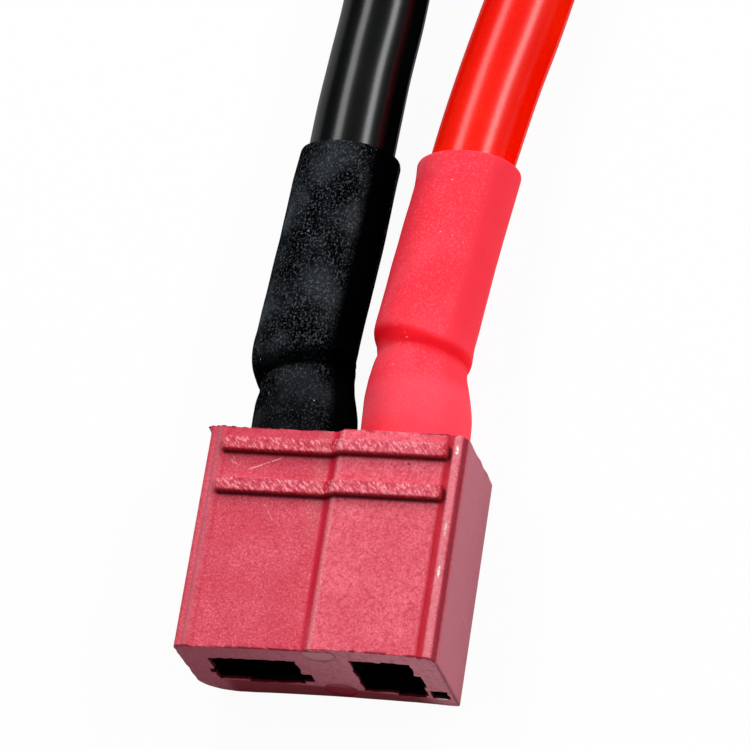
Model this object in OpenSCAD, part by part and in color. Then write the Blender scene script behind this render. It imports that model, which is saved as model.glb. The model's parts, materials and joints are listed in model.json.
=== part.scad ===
// Parallel battery harness: one female flat-blade plug on two heavy leads, each lead
// spliced to two lighter leads, which end in two male plugs. Millimetres.
// X runs across the plugs, Y from the female mating face towards the leads, Z up.
// The origin is the centre of the female housing's underside.

/* [Plug housings] */
// Width of a plug across both contacts
plug_w = 16.5; // [16.3:0.1:17.5]
// Thickness of the half that holds the upright contact
thick_h = 7.9; // [7.8:0.1:8.6]
// Amount by which the other half, which holds the flat contact, is thinner
step_h = 0.5; // [0.2:0.05:0.7]
// Sideways place of the slanted strip between the two halves
step_x = 0.15; // [-0.2:0.05:0.6]
// Width of that slanted strip
step_w = 0.65; // [0.4:0.05:1.2]
// Inward lean of the side wall next to the flat contact, from top to bottom
side_lean = 0.35; // [0:0.05:0.6]
// Radius of the big lower corner under the flat contact
big_corner_r = 1.7; // [1:0.1:2.4]
// Radius of the upper corner beside the upright contact
upper_corner_r = 1.15; // [0.6:0.05:1.3]
// Radius of the two remaining corners
small_corner_r = 0.3; // [0.1:0.05:0.5]
// Length of the female housing along the plugging direction
female_len = 14.6; // [14:0.1:17]
// Length of a male housing along the plugging direction
male_len = 8; // [7:0.1:10]

/* [Grip ribs and edge beads] */
// Number of grip ribs on the upper face
rib_count = 2; // [1:1:2]
// Height of a grip rib
rib_h = 0.5; // [0.2:0.05:0.8]
// Width of a grip rib at its foot
rib_w = 1.15; // [0.8:0.05:1.5]
// Amount by which a rib narrows from its foot to its top
rib_draft = 0.3; // [0:0.05:0.5]
// Distance from one rib to the next
rib_pitch = 2.75; // [2:0.05:3]
// Distance from the back face to the middle of the last rib
rib_inset = 1.25; // [0.9:0.05:1.5]
// Distance from a rib's end to the side of the housing
rib_side_gap = 1; // [0.8:0.1:1.6]
// Radius of the rounded bead along each upper edge
bead_r = 0.42; // [0.2:0.02:0.5]
// Distance from the bead's middle to the side of the housing
bead_inset = 0.68; // [0.6:0.02:0.9]
// Height of the bead's top over the thin half
bead_rise = 0.1; // [0:0.02:0.3]
// Depth of the other bead's top under the thick half
bead_drop = 0.12; // [0:0.02:0.2]
// Radius of the groove between the thick half and its bead
groove_r = 0.25; // [0.15:0.05:0.3]

/* [Slots of the female plug] */
// Depth of the contact slots from the mating face
slot_depth = 10.4; // [9.5:0.1:11.5]
// Sideways place of the middle of the flat slot
flat_x = -3.7; // [-3.9:0.1:-3.5]
// Sideways place of the middle of the upright slot
upright_x = 4.5; // [4.3:0.1:4.7]
// Height of the middle of both contacts over the underside
contact_z = 3.9; // [3.7:0.1:4.1]
// Long side of a slot
slot_l = 5.4; // [5.2:0.1:5.6]
// Short side of the flat slot
slot_t = 3.3; // [3.1:0.1:3.6]
// Short side of the upright slot
upright_slot_t = 3.8; // [3.6:0.1:4]
// Depth of the small moulded steps in the slots' sides
slot_step = 0.35; // [0.2:0.05:0.5]
// Radius of the shallow round ejector marks on the mating face
mark_r = 1.1; // [0.8:0.1:1.2]
// Depth of those marks
mark_depth = 0.12; // [0.05:0.01:0.3]
// Side of the small square pocket in the mating face's corner
pocket_s = 1; // [0.6:0.1:1.2]
// Depth of that pocket
pocket_depth = 3; // [1:0.5:6]

/* [Contacts] */
// Thickness of a female contact strip
strip_t = 0.7; // [0.5:0.05:0.9]
// Width of a female contact strip inside its slot
strip_w = 4.8; // [4.6:0.1:5]
// Distance from the mating face to the front end of a strip
strip_front = 2.2; // [1.2:0.1:2.6]
// Width of a solder tab, female or male
tab_w = 4; // [3.6:0.1:4.2]
// Length of a solder tab behind its housing
tab_len = 3.6; // [3:0.1:3.8]
// Radius of a solder tab's end corners
tab_r = 1.3; // [0.6:0.1:1.7]
// Width of a male blade
blade_w = 4.6; // [4:0.1:4.7]
// Thickness of a male blade
blade_t = 1.4; // [1.2:0.05:1.5]
// Length of a male blade in front of its housing
blade_len = 7.6; // [6.5:0.1:8.5]
// Bevel of a male blade's tip
blade_bevel = 0.4; // [0.2:0.05:0.6]
// Thickness of a leaf spring
spring_t = 0.25; // [0.2:0.01:0.35]
// Width of a leaf spring
spring_w = 4.2; // [3.8:0.1:4.4]
// Distance from a strip's front end back to the front end of its leaf spring
spring_start = 0.1; // [0:0.1:0.4]
// Distance from a leaf spring's back end to the end of its slot
spring_gap = 0.5; // [0.1:0.1:1]
// Length of each flat foot of a leaf spring
spring_foot = 1; // [0.8:0.1:1.2]
// Amount by which a leaf spring bows out of its wall
spring_bow = 1.25; // [0.9:0.05:1.4]

/* [Leads and sleeves] */
// Outer diameter of the heavy leads
trunk_d = 5.4; // [5.3:0.05:5.5]
// Diameter of the strand bundle in a heavy lead
trunk_core_d = 2.9; // [2.6:0.1:3]
// Outer diameter of the light leads
branch_d = 4.5; // [4.3:0.1:4.5]
// Diameter of the strand bundle in a light lead
branch_core_d = 2.4; // [2.1:0.1:2.5]
// Wall of the shrunk sleeves
sleeve_wall = 0.46; // [0.3:0.02:0.5]
// Wall of the red sleeve at the female plug, which is thinner
red_sleeve_wall = 0.38; // [0.3:0.02:0.5]
// Diameter of the black sleeve where it bulges over its solder joint
black_bulge_d = 6.6; // [6.5:0.05:6.8]
// Diameter of the red sleeve where it bulges over its solder joint
red_bulge_d = 6.85; // [6.7:0.05:7.1]
// Diameter of the necks of those two sleeves
neck_d = 5.9; // [5.7:0.05:6]
// Diameter of a light lead's sleeve over its solder joint
branch_bulge_d = 6.1; // [6:0.05:6.15]
// Diameter of the neck of a light lead's sleeve
branch_neck_d = 5.3; // [5.2:0.05:5.5]
// Length of bare strands between a light lead and its male housing
branch_bare = 5.6; // [5.2:0.1:6]

/* [Splices] */
// Length of the splice barrel
barrel_len = 12; // [10:0.5:12.5]
// Wall of the splice barrel
barrel_wall = 0.5; // [0.4:0.05:0.55]
// Distance from the barrel's middle to each of its two light bores
barrel_pitch = 1.4; // [1.35:0.05:1.45]
// Depth of each bore in the barrel
barrel_bore = 5.3; // [4:0.1:5.5]
// Distance from the splice's middle to each light lead beside it
branch_pitch = 2.3; // [2.3:0.05:2.4]
// Depth of the crimp dents in the barrel
dent_depth = 0.25; // [0.1:0.05:0.3]

/* [Fits] */
// Room between a strip, a tab or a blade and the housing that it passes through
housing_fit = 0.02; // [0.01:0.01:0.05]
// Room between strands and what holds them, on each side
strand_fit = 0.04; // [0.02:0.01:0.06]
// Room between a sleeve and the lead inside it
sleeve_fit = 0.09; // [0.07:0.01:0.12]
// Room between a sleeve's end and the housing
end_gap = 0.1; // [0.05:0.05:0.3]
// Solder under a strand bundle, between it and its tab
joint_gap = 0.1; // [0.08:0.01:0.12]

/* [Hidden] */
$fn = 48;

// Places along Y: the mating face, the back face and the end of the slots
front_y = -female_len / 2;
back_y = female_len / 2;
slot_end_y = front_y + slot_depth;
spring_y0 = front_y + strip_front + spring_start;
spring_len = slot_end_y - spring_gap - spring_y0;
half_w = plug_w / 2;
thin_h = thick_h - step_h;
// Reach of a cut past the surface that it starts from
over = 1;
// Overlap of the rectangles that make up a slot's outline
lap = 0.5;

// Faces of the female slots that carry the strips and the springs
floor_z = contact_z - slot_t / 2 + 0.05;
ceiling_z = floor_z + slot_t;
near_x = upright_x - upright_slot_t / 2;
far_x = upright_x + upright_slot_t / 2;
// A male blade slides on its strip with this room
blade_fit = 0.05;
blade_z = floor_z + strip_t + blade_fit;
blade_x = near_x + strip_t + blade_fit;

// Radii of leads, strands and sleeves
trunk_r = trunk_d / 2;
trunk_core_r = trunk_core_d / 2;
branch_r = branch_d / 2;
branch_core_r = branch_core_d / 2;
trunk_sleeve_r = trunk_r + sleeve_fit + sleeve_wall;
branch_sleeve_r = branch_r + sleeve_fit + sleeve_wall;
lead_sides = 12;
strand_sides = 8;
sleeve_sides = 18;

// Strand bundles lie on the female tabs here: [x, z]
negative_joint = [flat_x, floor_z + strip_t + trunk_core_r + joint_gap];
positive_joint = [near_x + strip_t + trunk_core_r + joint_gap, contact_z];

// Routes of the leads. Each point is [x, distance behind the female housing, lift],
// where lift is the height of the lead's underside over the table.
black_trunk_route = [
    [-4.05, 6, 1.1], [-4.05, 7.5, 1], [-3.92, 10, 0.84], [-3.78, 12.5, 0.73],
    [-3.62, 15.5, 0.64], [-3.39, 20, 0.58], [-3.33, 23.5, 0.36], [-3.2, 27, 0.14],
    [-2.96, 30.5, 0.03], [-2.8, 35, 0.01], [-2.75, 39.5, 0.05], [-2.8, 43.5, 0.3],
    [-2.9, 47, 0.6], [-3, 50.5, 0.65], [-3, 54, 0.65]
];
red_trunk_route = [
    [3.4, 7.4, 1.05], [3.54, 9.5, 0.93], [3.75, 12, 0.8], [3.99, 14.5, 0.7],
    [4.26, 17, 0.63], [4.58, 19.8, 0.58], [4.95, 23, 0.36], [5.42, 26.5, 0.14],
    [6.08, 30.5, 0.03], [6.95, 35, 0.01], [7.7, 39.5, 0.05], [8.25, 43.5, 0.3],
    [8.55, 47, 0.6], [8.7, 50.5, 0.65], [8.7, 54, 0.65]
];
left_black_route = [
    [-5.3, 69, 1.05], [-5.3, 73, 0.85], [-5.3, 77, 0.6], [-5.8, 81, 0.25],
    [-6.9, 86, 0.02], [-8.2, 91, 0.01], [-9.4, 96, 0.01], [-10.5, 101, 0.01],
    [-11.5, 106, 0.01], [-12.3, 111, 0.05], [-12.9, 117, 0.3], [-13.15, 122, 0.6],
    [-13.2, 127.5, 0.65], [-13.2, 133, 0.7]
];
right_black_route = [
    [-0.7, 69, 1.05], [-0.7, 73, 0.85], [-0.7, 77, 0.6], [-0.6, 81, 0.25],
    [-0.2, 86, 0.02], [0.6, 91, 0.01], [1.7, 96, 0.01], [2.9, 101, 0.01],
    [4.1, 106, 0.01], [5.2, 111, 0.05], [6.2, 117, 0.3], [6.7, 122, 0.6],
    [6.8, 127.5, 0.65], [6.8, 133, 0.7]
];
left_red_route = [
    [6.4, 69, 1.05], [6.4, 73, 0.85], [6.4, 77, 0.62], [5.9, 81, 1.2],
    [4.7, 86, 2.8], [3.2, 91, 4.2], [1.7, 96, 4.85], [0.1, 101, 4.6],
    [-1.4, 106, 3.5], [-2.7, 111, 2.2], [-3.9, 117, 1.1], [-4.4, 122, 0.9],
    [-4.6, 127.5, 1], [-4.6, 133, 1.15]
];
right_red_route = [
    [11, 69, 1.05], [11, 73, 0.85], [11, 77, 0.6], [11.3, 81, 0.25],
    [11.9, 86, 0.02], [12.6, 91, 0.01], [13.3, 96, 0.01], [13.9, 101, 0.01],
    [14.4, 106, 0.01], [14.8, 111, 0.05], [15.2, 117, 0.35], [15.4, 122, 0.7],
    [15.4, 127.5, 0.95], [15.4, 133, 1.15]
];

// Places of the two male plugs: [x of the middle, y of the back face]
plug_y = back_y + left_black_route[len(left_black_route) - 1][1] + branch_bare;
left_plug = [-9.5, plug_y];
right_plug = [10.5, plug_y];

// Turns a route into points in the part's frame, for a lead of radius r
function lead_path(route, r) = [for (p = route) [p[0], back_y + p[1], r + p[2]]];
function first_part(list, n) = [for (i = [0:n - 1]) list[i]];
function last_part(list, n) = [for (i = [len(list) - n:len(list) - 1]) list[i]];

// Sweeping along a path: the direction there, and the two directions across it
function unit(v) = v / norm(v);
// Points just before a path and just past it, straight in line with its ends, so that
// strands leave their insulation square to its ends
function lead_in(path) = path[0] - 0.4 * unit(path[1] - path[0]);
function lead_out(path) = let (n = len(path)) path[n - 1] + 0.4 * unit(path[n - 1] - path[n - 2]);
function ahead(path, i) = unit(path[min(i + 1, len(path) - 1)] - path[max(i - 1, 0)]);
function across(path, i) = unit(cross(ahead(path, i), [0, 0, 1]));
function above(path, i) = cross(across(path, i), ahead(path, i));

// One ring of a sweep: an outline with round ends, half_x wide and half_z high
function ring(path, i, half_x, half_z, sides) = [
    for (k = [0:sides - 1])
        let (a = (k + 0.5) * 360 / sides, flat = half_x - half_z)
        path[i] + across(path, i) * (half_z * cos(a) + flat * sign(cos(a)))
        + above(path, i) * half_z * sin(a)
];
function rings(path, sizes, sides) = [
    for (i = [0:len(path) - 1]) each ring(path, i, sizes[i][0], sizes[i][1], sides)
];
// Quads between neighbouring rings, from point number start on
function skin(start, count, sides, turned) = [
    for (i = [0:count - 2], k = [0:sides - 1])
        let (a = start + i * sides + k, b = start + i * sides + (k + 1) % sides)
        turned ? [a, b, b + sides, a + sides] : [a, a + sides, b + sides, b]
];

// A solid rod along a path
module swept_rod(path, r, sides) {
    count = len(path);
    last = (count - 1) * sides;
    polyhedron(
        points = rings(path, [for (p = path) [r, r]], sides),
        faces = concat(
            skin(0, count, sides, false),
            [[for (k = [0:sides - 1]) k]],
            [[for (k = [sides - 1:-1:0]) last + k]]
        )
    );
}

// A tube along a path, with an outer and an inner size at each of its points
module swept_tube(path, outer, inner, sides) {
    count = len(path);
    n = count * sides;
    last = n - sides;
    polyhedron(
        points = concat(rings(path, outer, sides), rings(path, inner, sides)),
        faces = concat(
            skin(0, count, sides, false),
            skin(n, count, sides, true),
            [for (k = [0:sides - 1]) let (m = (k + 1) % sides) [k, m, n + m, n + k]],
            [for (k = [0:sides - 1]) let (m = (k + 1) % sides)
                [last + m, last + k, last + n + k, last + n + m]]
        )
    );
}

// A flat outline in X and Z, extruded from y0 to y1
module along_y(y0, y1) {
    translate([0, y1, 0]) rotate([90, 0, 0]) linear_extrude(y1 - y0) children();
}

// What a round corner of radius r takes off a square one at the origin, in the
// quadrant that sx and sz point into
module corner_cut(r, sx, sz) {
    difference() {
        translate([sx > 0 ? -over : -r, sz > 0 ? -over : -r]) square(r + over);
        translate([sx * r, sz * r]) circle(r);
    }
}

// Outline of a plug across the plugging direction
module plug_outline() {
    low_x = step_x - step_w / 2;
    high_x = step_x + step_w / 2;
    difference() {
        polygon([
            [-half_w + side_lean, 0], [half_w, 0], [half_w, thick_h],
            [high_x, thick_h], [low_x, thin_h], [-half_w, thin_h]
        ]);
        translate([-half_w + side_lean, 0]) corner_cut(big_corner_r, 1, 1);
        translate([half_w, 0]) corner_cut(small_corner_r, -1, 1);
        translate([half_w, thick_h]) corner_cut(upper_corner_r, -1, -1);
        translate([-half_w, thin_h]) corner_cut(small_corner_r, 1, -1);
        translate([half_w - bead_inset - bead_r, thick_h]) circle(groove_r);
    }
    translate([half_w - bead_inset, thick_h - bead_drop - bead_r]) circle(bead_r);
    translate([-half_w + bead_inset, thin_h + bead_rise - bead_r]) circle(bead_r);
}

// One grip rib, whose middle is at y: it follows the step of the upper face
module grip_rib(y) {
    low_x = step_x - step_w / 2;
    high_x = step_x + step_w / 2;
    end_x = half_w - rib_side_gap;
    foot = 0.3;
    intersection() {
        along_y(y - rib_w, y + rib_w) difference() {
            polygon([
                [-end_x, thin_h - foot], [end_x, thin_h - foot], [end_x, thick_h + rib_h],
                [high_x, thick_h + rib_h], [low_x, thin_h + rib_h], [-end_x, thin_h + rib_h]
            ]);
            translate([end_x, thick_h + rib_h]) corner_cut(rib_h / 2, -1, -1);
            translate([-end_x, thin_h + rib_h]) corner_cut(rib_h / 2, 1, -1);
        }
        translate([-half_w, y, 0]) rotate([90, 0, 90]) linear_extrude(plug_w) polygon([
            [-rib_w / 2, thin_h - foot], [rib_w / 2, thin_h - foot],
            [(rib_w - rib_draft) / 2, thick_h + rib_h], [-(rib_w - rib_draft) / 2, thick_h + rib_h]
        ]);
    }
}

// Block with grip ribs, from the mating end y0 to the back face at y1
module plug_body(y0, y1) {
    along_y(y0, y1) plug_outline();
    for (i = [0:rib_count - 1]) grip_rib(y1 - rib_inset - i * rib_pitch);
}

// Outline of the flat slot, with the moulded steps in its floor and sides
module flat_slot_outline() {
    left = flat_x - slot_l / 2;
    right = flat_x + slot_l / 2;
    floor_step_w = 3.4;
    floor_step_inset = 0.1;
    right_step_w = 1.6 * slot_step;
    right_step_h = 1.2;
    left_step_h = 0.5;
    left_step_lift = 1;
    translate([left, floor_z]) square([slot_l, slot_t]);
    translate([right - floor_step_inset - floor_step_w, floor_z - slot_step])
        square([floor_step_w, slot_step + lap]);
    translate([right - lap, floor_z]) square([lap + right_step_w, right_step_h]);
    translate([left - slot_step, floor_z + left_step_lift]) square([slot_step + lap, left_step_h]);
}

// Outline of the upright slot, with the moulded steps in its side and floor
module upright_slot_outline() {
    height = slot_l - 0.5;
    bottom = contact_z - height / 2;
    floor_step_w = upright_slot_t / 2 - 0.2;
    side_step_lift = 1.4;
    side_step_h = 1.8;
    translate([near_x, bottom]) square([upright_slot_t, height]);
    translate([far_x - floor_step_w, bottom - slot_step]) square([floor_step_w, slot_step + lap]);
    translate([far_x - lap, bottom + side_step_lift]) square([lap + slot_step, side_step_h]);
    translate([far_x - lap, bottom]) square([lap + slot_step / 2, side_step_lift + lap]);
}

module female_housing() color([0.72, 0.2, 0.28]) {
    upper_mark = [step_x + 0.7, thick_h - mark_r + 0.1];
    lower_mark = [step_x + 0.9, mark_r + 0.1];
    pocket_corner = [half_w - 0.35 - pocket_s, 1.2];
    difference() {
        plug_body(front_y, back_y);
        along_y(front_y - over, slot_end_y) flat_slot_outline();
        along_y(front_y - over, slot_end_y) upright_slot_outline();
        along_y(slot_end_y - over, back_y + over) {
            translate([flat_x - tab_w / 2 - housing_fit, floor_z])
                square([tab_w + 2 * housing_fit, strip_t + housing_fit]);
            translate([near_x, contact_z - tab_w / 2 - housing_fit])
                square([strip_t + housing_fit, tab_w + 2 * housing_fit]);
        }
        along_y(front_y - over, front_y + mark_depth) {
            translate(upper_mark) circle(mark_r);
            translate(lower_mark) circle(mark_r);
        }
        along_y(front_y - over, front_y + pocket_depth)
            translate(pocket_corner) square([pocket_s, 1.1 * pocket_s]);
    }
}

// A flat strip or tab seen from above: length along Y from y0 to y1, with the
// two corners at y1 rounded
module tab_outline(y0, y1, width, r) {
    difference() {
        translate([-width / 2, y0]) square([width, y1 - y0]);
        translate([width / 2, y1]) corner_cut(r, -1, -1);
        translate([-width / 2, y1]) corner_cut(r, 1, -1);
    }
}

// Female contact, lying flat with its underside on z = 0 and its middle on x = 0
module contact_strip() {
    tip_y = front_y + strip_front;
    tip_r = 0.5;
    linear_extrude(strip_t) {
        difference() {
            translate([-strip_w / 2, tip_y]) square([strip_w, slot_end_y - end_gap - tip_y]);
            translate([strip_w / 2, tip_y]) corner_cut(tip_r, -1, 1);
            translate([-strip_w / 2, tip_y]) corner_cut(tip_r, 1, 1);
        }
        tab_outline(slot_end_y - over, back_y + tab_len, tab_w, tab_r);
    }
}

module negative_strip() color([0.85, 0.68, 0.3])
    translate([flat_x, 0, floor_z]) contact_strip();

module positive_strip() color([0.85, 0.68, 0.3])
    translate([near_x, 0, contact_z]) rotate([0, 90, 0]) contact_strip();

// Bowed leaf: two flat feet on z = 0 and an arc between them that dips to -spring_bow
module leaf_spring() {
    // The feet and the arc run this far into one another
    joined = 0.1;
    span = spring_len - 2 * spring_foot;
    arc_r = (span * span / 4 + spring_bow * spring_bow) / (2 * spring_bow);
    mid_y = spring_y0 + spring_len / 2;
    translate([-spring_w / 2, mid_y, 0]) rotate([90, 0, 90]) linear_extrude(spring_w) {
        translate([-spring_len / 2, -spring_t]) square([spring_foot + joined, spring_t]);
        translate([span / 2 - joined, -spring_t]) square([spring_foot + joined, spring_t]);
        intersection() {
            translate([0, arc_r - spring_bow]) difference() {
                circle(arc_r, $fn = 96);
                circle(arc_r - spring_t, $fn = 96);
            }
            translate([-span / 2, -spring_bow - over]) square([span, spring_bow + over]);
        }
    }
}

module negative_leaf_spring() color([0.75, 0.76, 0.78])
    translate([flat_x, 0, ceiling_z - housing_fit]) leaf_spring();

module positive_leaf_spring() color([0.75, 0.76, 0.78])
    translate([far_x - housing_fit, 0, contact_z]) rotate([0, 90, 0]) leaf_spring();

// Solder starts this far from its housing, and ends this far before its tab's end
solder_start = 0.4;
solder_stop = 0.5;

// Solder between a flat tab below and a strand bundle above it: the tab's upper face
// is z = 0, and the bundle's middle is at x = 0 and core_r + joint_gap high
module solder_fillet(y0, y1, core_r) {
    foot_w = tab_w - 0.2;
    top = core_r * 1.15;
    hollow_r = top * 0.6;
    along_y(y0, y1) difference() {
        translate([-foot_w / 2, 0]) square([foot_w, top]);
        for (s = [-1, 1]) translate([s * (foot_w / 2 + hollow_r / 3), top]) circle(hollow_r);
        translate([0, core_r + joint_gap]) circle(core_r + strand_fit);
    }
}

module negative_solder() color([0.7, 0.71, 0.72])
    translate([flat_x, 0, floor_z + strip_t])
        solder_fillet(back_y + solder_start, back_y + tab_len - solder_stop, trunk_core_r);

module positive_solder() color([0.7, 0.71, 0.72])
    translate([near_x + strip_t, 0, contact_z]) rotate([0, 90, 0])
        solder_fillet(back_y + solder_start, back_y + tab_len - solder_stop, trunk_core_r);

// Insulation of a lead, open at both ends around its strands
module lead_insulation(route, r, core_r) {
    path = lead_path(route, r);
    bore_r = (core_r + strand_fit) / cos(180 / lead_sides);
    swept_tube(path, [for (p = path) [r, r]], [for (p = path) [bore_r, bore_r]], lead_sides);
}

module black_trunk_lead() color([0.09, 0.1, 0.11])
    lead_insulation(black_trunk_route, trunk_r, trunk_core_r);
module red_trunk_lead() color([0.95, 0.16, 0.06])
    lead_insulation(red_trunk_route, trunk_r, trunk_core_r);
module left_black_lead() color([0.09, 0.1, 0.11])
    lead_insulation(left_black_route, branch_r, branch_core_r);
module right_black_lead() color([0.09, 0.1, 0.11])
    lead_insulation(right_black_route, branch_r, branch_core_r);
module left_red_lead() color([0.95, 0.16, 0.06])
    lead_insulation(left_red_route, branch_r, branch_core_r);
module right_red_lead() color([0.95, 0.16, 0.06])
    lead_insulation(right_red_route, branch_r, branch_core_r);

// Splice barrels: each starts at this distance past its heavy lead's end
barrel_gap = 1.5;
// Room between the end of the strands and the bottom of their bore
bore_room = 0.3;
// Distance from a housing to the strands on its tabs, and of the strands' bend from
// the tab's end
strand_gap = 0.3;
strand_bend = 0.2;
function splice_mid(route) = lead_path(route, trunk_r)[len(route) - 1];

// Strands of a heavy lead, from the female tab through the lead into the barrel
module trunk_strands(route, joint) {
    path = lead_path(route, trunk_r);
    end = splice_mid(route);
    swept_rod(concat(
        [[joint[0], back_y + strand_gap, joint[1]],
         [joint[0], back_y + tab_len + strand_bend, joint[1]],
         lead_in(path)],
        path,
        [end + [0, barrel_gap + barrel_bore - bore_room, 0]]
    ), trunk_core_r, strand_sides);
}

module black_trunk_strands() color([0.8, 0.5, 0.35])
    trunk_strands(black_trunk_route, negative_joint);
module red_trunk_strands() color([0.8, 0.5, 0.35])
    trunk_strands(red_trunk_route, positive_joint);

// Barrel that joins one thick bundle to two thin ones
module splice_barrel(route) {
    end = splice_mid(route);
    half_h = trunk_core_r + strand_fit + barrel_wall;
    half_x = barrel_pitch + branch_core_r + strand_fit + barrel_wall;
    dent_r = 1.2;
    translate([end[0], 0, end[2]]) difference() {
        along_y(end[1] + barrel_gap, end[1] + barrel_gap + barrel_len) {
            for (s = [-1, 1]) translate([s * (half_x - half_h), 0]) circle(half_h);
            translate([half_h - half_x, -half_h]) square([2 * (half_x - half_h), 2 * half_h]);
        }
        along_y(end[1], end[1] + barrel_gap + barrel_bore) circle(trunk_core_r + strand_fit);
        along_y(end[1] + barrel_gap + barrel_len - barrel_bore, end[1] + barrel_gap + barrel_len + over)
            for (s = [-1, 1]) translate([s * barrel_pitch, 0]) circle(branch_core_r + strand_fit);
        for (f = [0.25, 0.75])
            translate([-half_x - over, end[1] + barrel_gap + f * barrel_len, half_h + dent_r])
                rotate([0, 90, 0]) cylinder(r = dent_r + dent_depth, h = 2 * (half_x + over));
    }
}

module black_splice_barrel() color([0.72, 0.73, 0.75]) splice_barrel(black_trunk_route);
module red_splice_barrel() color([0.72, 0.73, 0.75]) splice_barrel(red_trunk_route);

// Shrunk sleeve over a splice: round on the heavy lead, flat and wide on the two
// light ones, where it sinks with them
module splice_sleeve(route, colour) {
    path = lead_path(route, trunk_r);
    end = splice_mid(route);
    barrel_y = barrel_gap + barrel_len;
    // Each is [distance behind the barrel, sinking]
    tail = [[1.2, 0.02], [5.5, 0.25], [8, 0.42]];
    room = sleeve_fit + sleeve_wall;
    wide = [branch_pitch + branch_r + room, branch_r + room];
    slack = 0.1;
    narrow = [barrel_pitch + branch_core_r + barrel_wall, trunk_core_r + barrel_wall]
        + [1, 1] * (room + slack);
    round = [trunk_sleeve_r, trunk_sleeve_r];
    shoulder = (narrow + wide) / 2;
    outer = [round, round, round, narrow, narrow, shoulder, wide, wide, wide];
    color(colour) swept_tube(concat(
        last_part(path, 3),
        [end + [0, barrel_gap, 0], end + [0, barrel_gap + barrel_len * 0.6, 0],
         end + [0, barrel_y, 0]],
        [for (t = tail) end + [0, barrel_y + t[0], -t[1]]]
    ), outer, [for (s = outer) s - [sleeve_wall, sleeve_wall]], sleeve_sides);
}

module black_splice_sleeve() splice_sleeve(black_trunk_route, [0.12, 0.12, 0.13]);
module red_splice_sleeve() splice_sleeve(red_trunk_route, [0.9, 0.22, 0.3]);

// Shrunk sleeve at the female plug: points and radii over the joint, then the lead
module trunk_sleeve(joint_path, joint_r, route, shared, wall) {
    path = concat(
        [for (p = joint_path) [p[0], back_y + p[1], p[2]]],
        first_part(lead_path(route, trunk_r), shared)
    );
    lead_part_r = trunk_r + sleeve_fit + wall;
    shoulder_r = lead_part_r + 0.04;
    outer = concat(joint_r, [shoulder_r], [for (i = [1:shared - 1]) lead_part_r]);
    swept_tube(path, [for (r = outer) [r, r]], [for (r = outer) [r - wall, r - wall]], sleeve_sides);
}

// The black sleeve bulges over its joint and has its neck 4.5 behind the housing
module black_trunk_sleeve() color([0.12, 0.12, 0.13]) {
    bulge = black_bulge_d / 2;
    neck = neck_d / 2;
    trunk_sleeve(
        [[-3.38, end_gap, 3.8], [-3.38, 1.6, 3.8], [-3.42, 2.7, 3.8], [-3.5, 3.6, 3.82],
         [-3.62, 4.4, 3.84], [-3.84, 5.1, 3.83]],
        [bulge - 0.04, bulge, bulge - 0.05, (bulge + neck) / 2, neck, (neck + trunk_sleeve_r) / 2],
        black_trunk_route, 6, sleeve_wall
    );
}

// The red sleeve bulges more, and has its neck 6 behind the housing
module red_trunk_sleeve() color([0.9, 0.22, 0.3]) {
    bulge = red_bulge_d / 2;
    neck = neck_d / 2;
    trunk_sleeve(
        [[3.83, end_gap, 3.8], [3.82, 1.6, 3.8], [3.76, 3, 3.8], [3.66, 4.2, 3.8],
         [3.56, 5.2, 3.79], [3.46, 6, 3.78], [3.4, 6.8, 3.77]],
        [bulge - 0.05, bulge, bulge - 0.02, bulge - 0.16, (bulge + neck) / 2 - 0.08, neck,
         (neck + trunk_sleeve_r) / 2],
        red_trunk_route, 6, red_sleeve_wall
    );
}

// Places a male plug: its drawing has the back face on y = 0 and its tabs on +y
module at_plug(plug) {
    translate([plug[0], plug[1], 0]) mirror([0, 1, 0]) children();
}

module male_housing(plug) color([0.72, 0.2, 0.28]) at_plug(plug) difference() {
    plug_body(-male_len, 0);
    along_y(-male_len - over, over) {
        translate([flat_x - blade_w / 2 - housing_fit, blade_z - housing_fit])
            square([blade_w, blade_t] + [2, 2] * housing_fit);
        translate([blade_x - housing_fit, contact_z - blade_w / 2 - housing_fit])
            square([blade_t, blade_w] + [2, 2] * housing_fit);
    }
}

module left_male_housing() male_housing(left_plug);
module right_male_housing() male_housing(right_plug);

// Male contact, lying flat on z = 0 with its middle on x = 0: the blade in front, a
// narrower solder tab behind
module male_contact() {
    tip_y = -male_len - blade_len;
    tip_r = 0.6;
    intersection() {
        linear_extrude(blade_t) {
            difference() {
                translate([-blade_w / 2, tip_y]) square([blade_w, male_len + blade_len]);
                translate([blade_w / 2, tip_y]) corner_cut(tip_r, -1, 1);
                translate([-blade_w / 2, tip_y]) corner_cut(tip_r, 1, 1);
            }
            tab_outline(-over, tab_len, tab_w, tab_r);
        }
        translate([-blade_w, 0, 0]) rotate([90, 0, 90]) linear_extrude(2 * blade_w) polygon([
            [tip_y, blade_bevel], [tip_y + blade_bevel, 0], [tab_len, 0], [tab_len, blade_t],
            [tip_y + blade_bevel, blade_t], [tip_y, blade_t - blade_bevel]
        ]);
    }
}

module negative_blade(plug) color([0.85, 0.68, 0.3])
    at_plug(plug) translate([flat_x, 0, blade_z]) male_contact();
module positive_blade(plug) color([0.85, 0.68, 0.3])
    at_plug(plug) translate([blade_x + blade_t, 0, contact_z]) rotate([0, -90, 0]) male_contact();

module left_negative_blade() negative_blade(left_plug);
module right_negative_blade() negative_blade(right_plug);
module left_positive_blade() positive_blade(left_plug);
module right_positive_blade() positive_blade(right_plug);

// Middles of the strand bundles on the male tabs: under the flat one, beside the
// upright one, as [x from the plug's middle, z]
male_negative_joint = [flat_x, blade_z - branch_core_r - joint_gap];
male_positive_joint = [blade_x + blade_t + branch_core_r + joint_gap, contact_z];

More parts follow.
